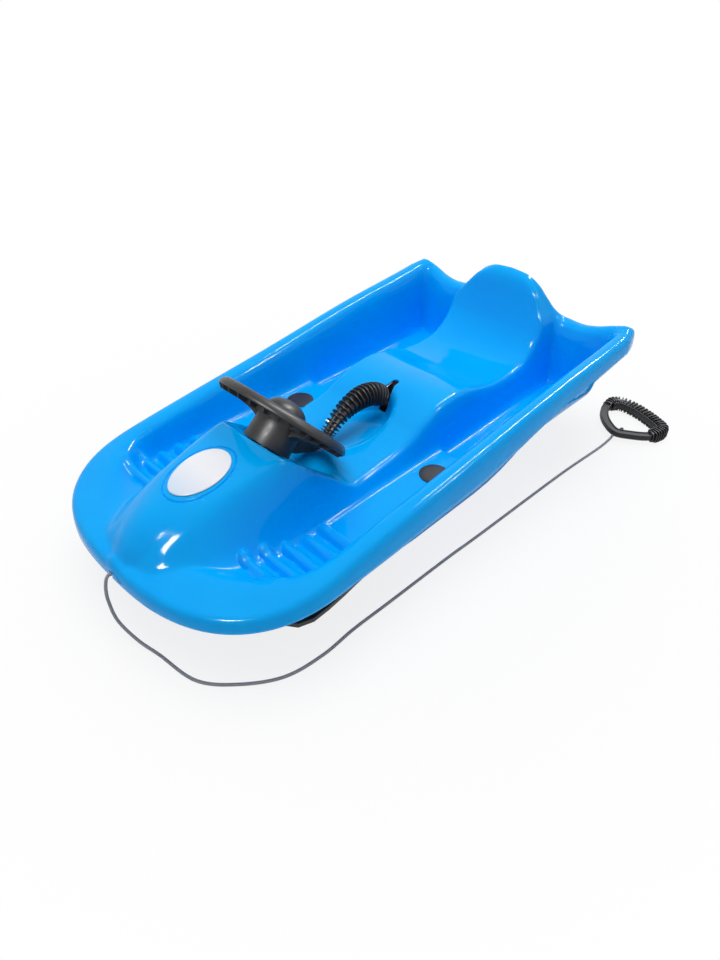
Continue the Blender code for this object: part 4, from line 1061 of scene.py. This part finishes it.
def ridged_handle():
    """One ring: a low channelled bow for the rope and a ridged grip with a smooth band inside."""
    loop = [Vector((x, y, HANDLE_Z)) for x, y in HANDLE_ROUTE]
    line = bent_path(loop[-1:] + loop + loop[:2], HANDLE_STEPS)[HANDLE_STEPS:-HANDLE_STEPS - 1]
    count = len(line)
    track = stations(line, (0, 0, 1), endless=True)

    def place(across, along):
        share = round(along * count) / count
        p, side, top = track[round(along * count) % count]
        grip = plateau(*GRIP_SPAN, share)
        k = round(across * len(BOW)) % len(BOW)
        a, b = [low * (1 - grip) + high * grip for low, high in zip(BOW[k], CORE[k])]
        return p + side * a + top * b

    bm = draped_grid(len(BOW), count, place)
    bmesh.ops.recalc_face_normals(bm, faces=bm.faces)
    for k in range(RIDGES):
        share = GRIP_FROM + (GRIP_TO - GRIP_FROM) * k / (RIDGES - 1)
        grown = eased(0, .06, min(share - GRIP_FROM, GRIP_TO - share) + .012)
        merge_in(bm, handle_ridge(track[round(share * count) % count], grown))
    first, last = round((GRIP_FROM + .01) * count), round((GRIP_TO - .01) * count)
    inner = [p - side * BAND_IN + top * BAND_UP for p, side, top in track[first:last + 1]]
    merge_in(bm, drawn_bar(inner, band_section, 16))
    piece = finished("ridged_handle", bm, "sled", GRIP_BLACK, ["pull_handle"])
    bevelled(piece, width=.0004, segments=2, angle=40)


ridged_handle()
tuple(rope_line[0])

# Every CAD node gets its finish here. Those that a piece above replaces are hidden.
LOOKS = {"blue_plastic": BLUE, "grey_plastic": WHEEL_GREY, "black_plastic": GRIP_BLACK, "steel": STEEL,
         "rope": ROPE, "white_label": LABEL}
slots = {part["node"]: part["material_slot"] for part in frame["record"]["subparts"]}
for name, node in nodes.items():
    node.data.materials.clear()
    node.data.materials.append(LOOKS[slots[name]])
for name in ("ski_left", "ski_right"):
    bevelled(nodes[name], width=.0012, segments=3, angle=40)

# White studio: floor, backdrop and soft lamps


def backdrop_share(tree):
    """1 for the rays that see the plain backdrop: the camera's, and those through glass or off a gloss."""
    rays = tree.nodes.new("ShaderNodeLightPath")
    share = rays.outputs["Is Camera Ray"]
    for kind in ("Is Transmission Ray", "Is Glossy Ray"):
        either = tree.nodes.new("ShaderNodeMath")
        either.operation = "MAXIMUM"
        tree.links.new(share, either.inputs[0])
        tree.links.new(rays.outputs[kind], either.inputs[1])
        share = either.outputs[0]
    return share


def studio_floor():
    """White paper: lit and shaded round the sled, plain white to the eye further out."""
    bm = bmesh.new()
    bmesh.ops.create_circle(bm, cap_ends=True, segments=96, radius=40.0)
    mesh = bpy.data.meshes.new("floor")
    bm.to_mesh(mesh)
    bm.free()
    floor = bpy.data.objects.new("floor", mesh)
    scene.collection.objects.link(floor)
    paper = Finish("white_paper", (0.95, 0.95, 0.95), 0.9).set(Specular_IOR_Level=.1)
    coords = paper.node("TexCoord")
    reach = paper.node("VectorMath", operation="LENGTH")
    paper.join(coords.outputs["Object"], reach.inputs[0])
    share = paper.node("Math", operation="MULTIPLY")
    paper.join(paper.spread(reach.outputs["Value"], .45, .85, .82, 1), share.inputs[0])
    paper.join(backdrop_share(paper.tree), share.inputs[1])
    white = paper.node("Emission")
    mixed = paper.node("MixShader")
    paper.join(share.outputs[0], mixed.inputs["Fac"])
    paper.join(paper.shader.outputs[0], mixed.inputs[1])
    paper.join(white.outputs[0], mixed.inputs[2])
    paper.join(mixed.outputs[0], paper.tree.nodes["Material Output"].inputs["Surface"])
    mesh.materials.append(paper.mat)


def soft_lamp(name, place, target, size, power):
    data = bpy.data.lights.new(name, "AREA")
    data.shape = "RECTANGLE"
    data.size, data.size_y = size
    data.energy = power
    lamp = bpy.data.objects.new(name, data)
    scene.collection.objects.link(lamp)
    lamp.location = place
    lamp.rotation_euler = (Vector(target) - Vector(place)).to_track_quat("-Z", "Y").to_euler()
    return lamp


def glint_lamp(name, place, size, power):
    """A small lamp that only the gloss shows, and that adds no light to a colour."""
    lamp = soft_lamp(name, place, (0, 0, .1), size, power)
    lamp.visible_diffuse = False


def studio_world():
    """A dim white sky for the light, and a plain white one to look at."""
    world = bpy.data.worlds.new("studio")
    scene.world = world
    world.use_nodes = True
    tree = world.node_tree
    sky = tree.nodes["Background"]
    backdrop = tree.nodes.new("ShaderNodeBackground")
    for background, strength in ((sky, .38), (backdrop, 1.0)):
        background.inputs["Strength"].default_value = strength
        background.inputs["Color"].default_value = (1, 1, 1, 1)
    pick = tree.nodes.new("ShaderNodeMixShader")
    tree.links.new(backdrop_share(tree), pick.inputs["Fac"])
    tree.links.new(sky.outputs[0], pick.inputs[1])
    tree.links.new(backdrop.outputs[0], pick.inputs[2])
    tree.links.new(pick.outputs[0], tree.nodes["World Output"].inputs["Surface"])


studio_floor()
soft_lamp("top_softbox", (-.3, .2, 2.5), (0, 0, 0), (2.2, 2.2), 48).visible_glossy = False
glint_lamp("rear_card", (.1, 1.6, 2.2), (.20, 1.3), 98)
glint_lamp("side_card", (1.6, 1.2, 1.9), (.16, .40), 18)
glint_lamp("front_spot", (.4, -1.7, 2.2), (.50, .46), 95)
studio_world()
scene.view_settings.view_transform = "Standard"
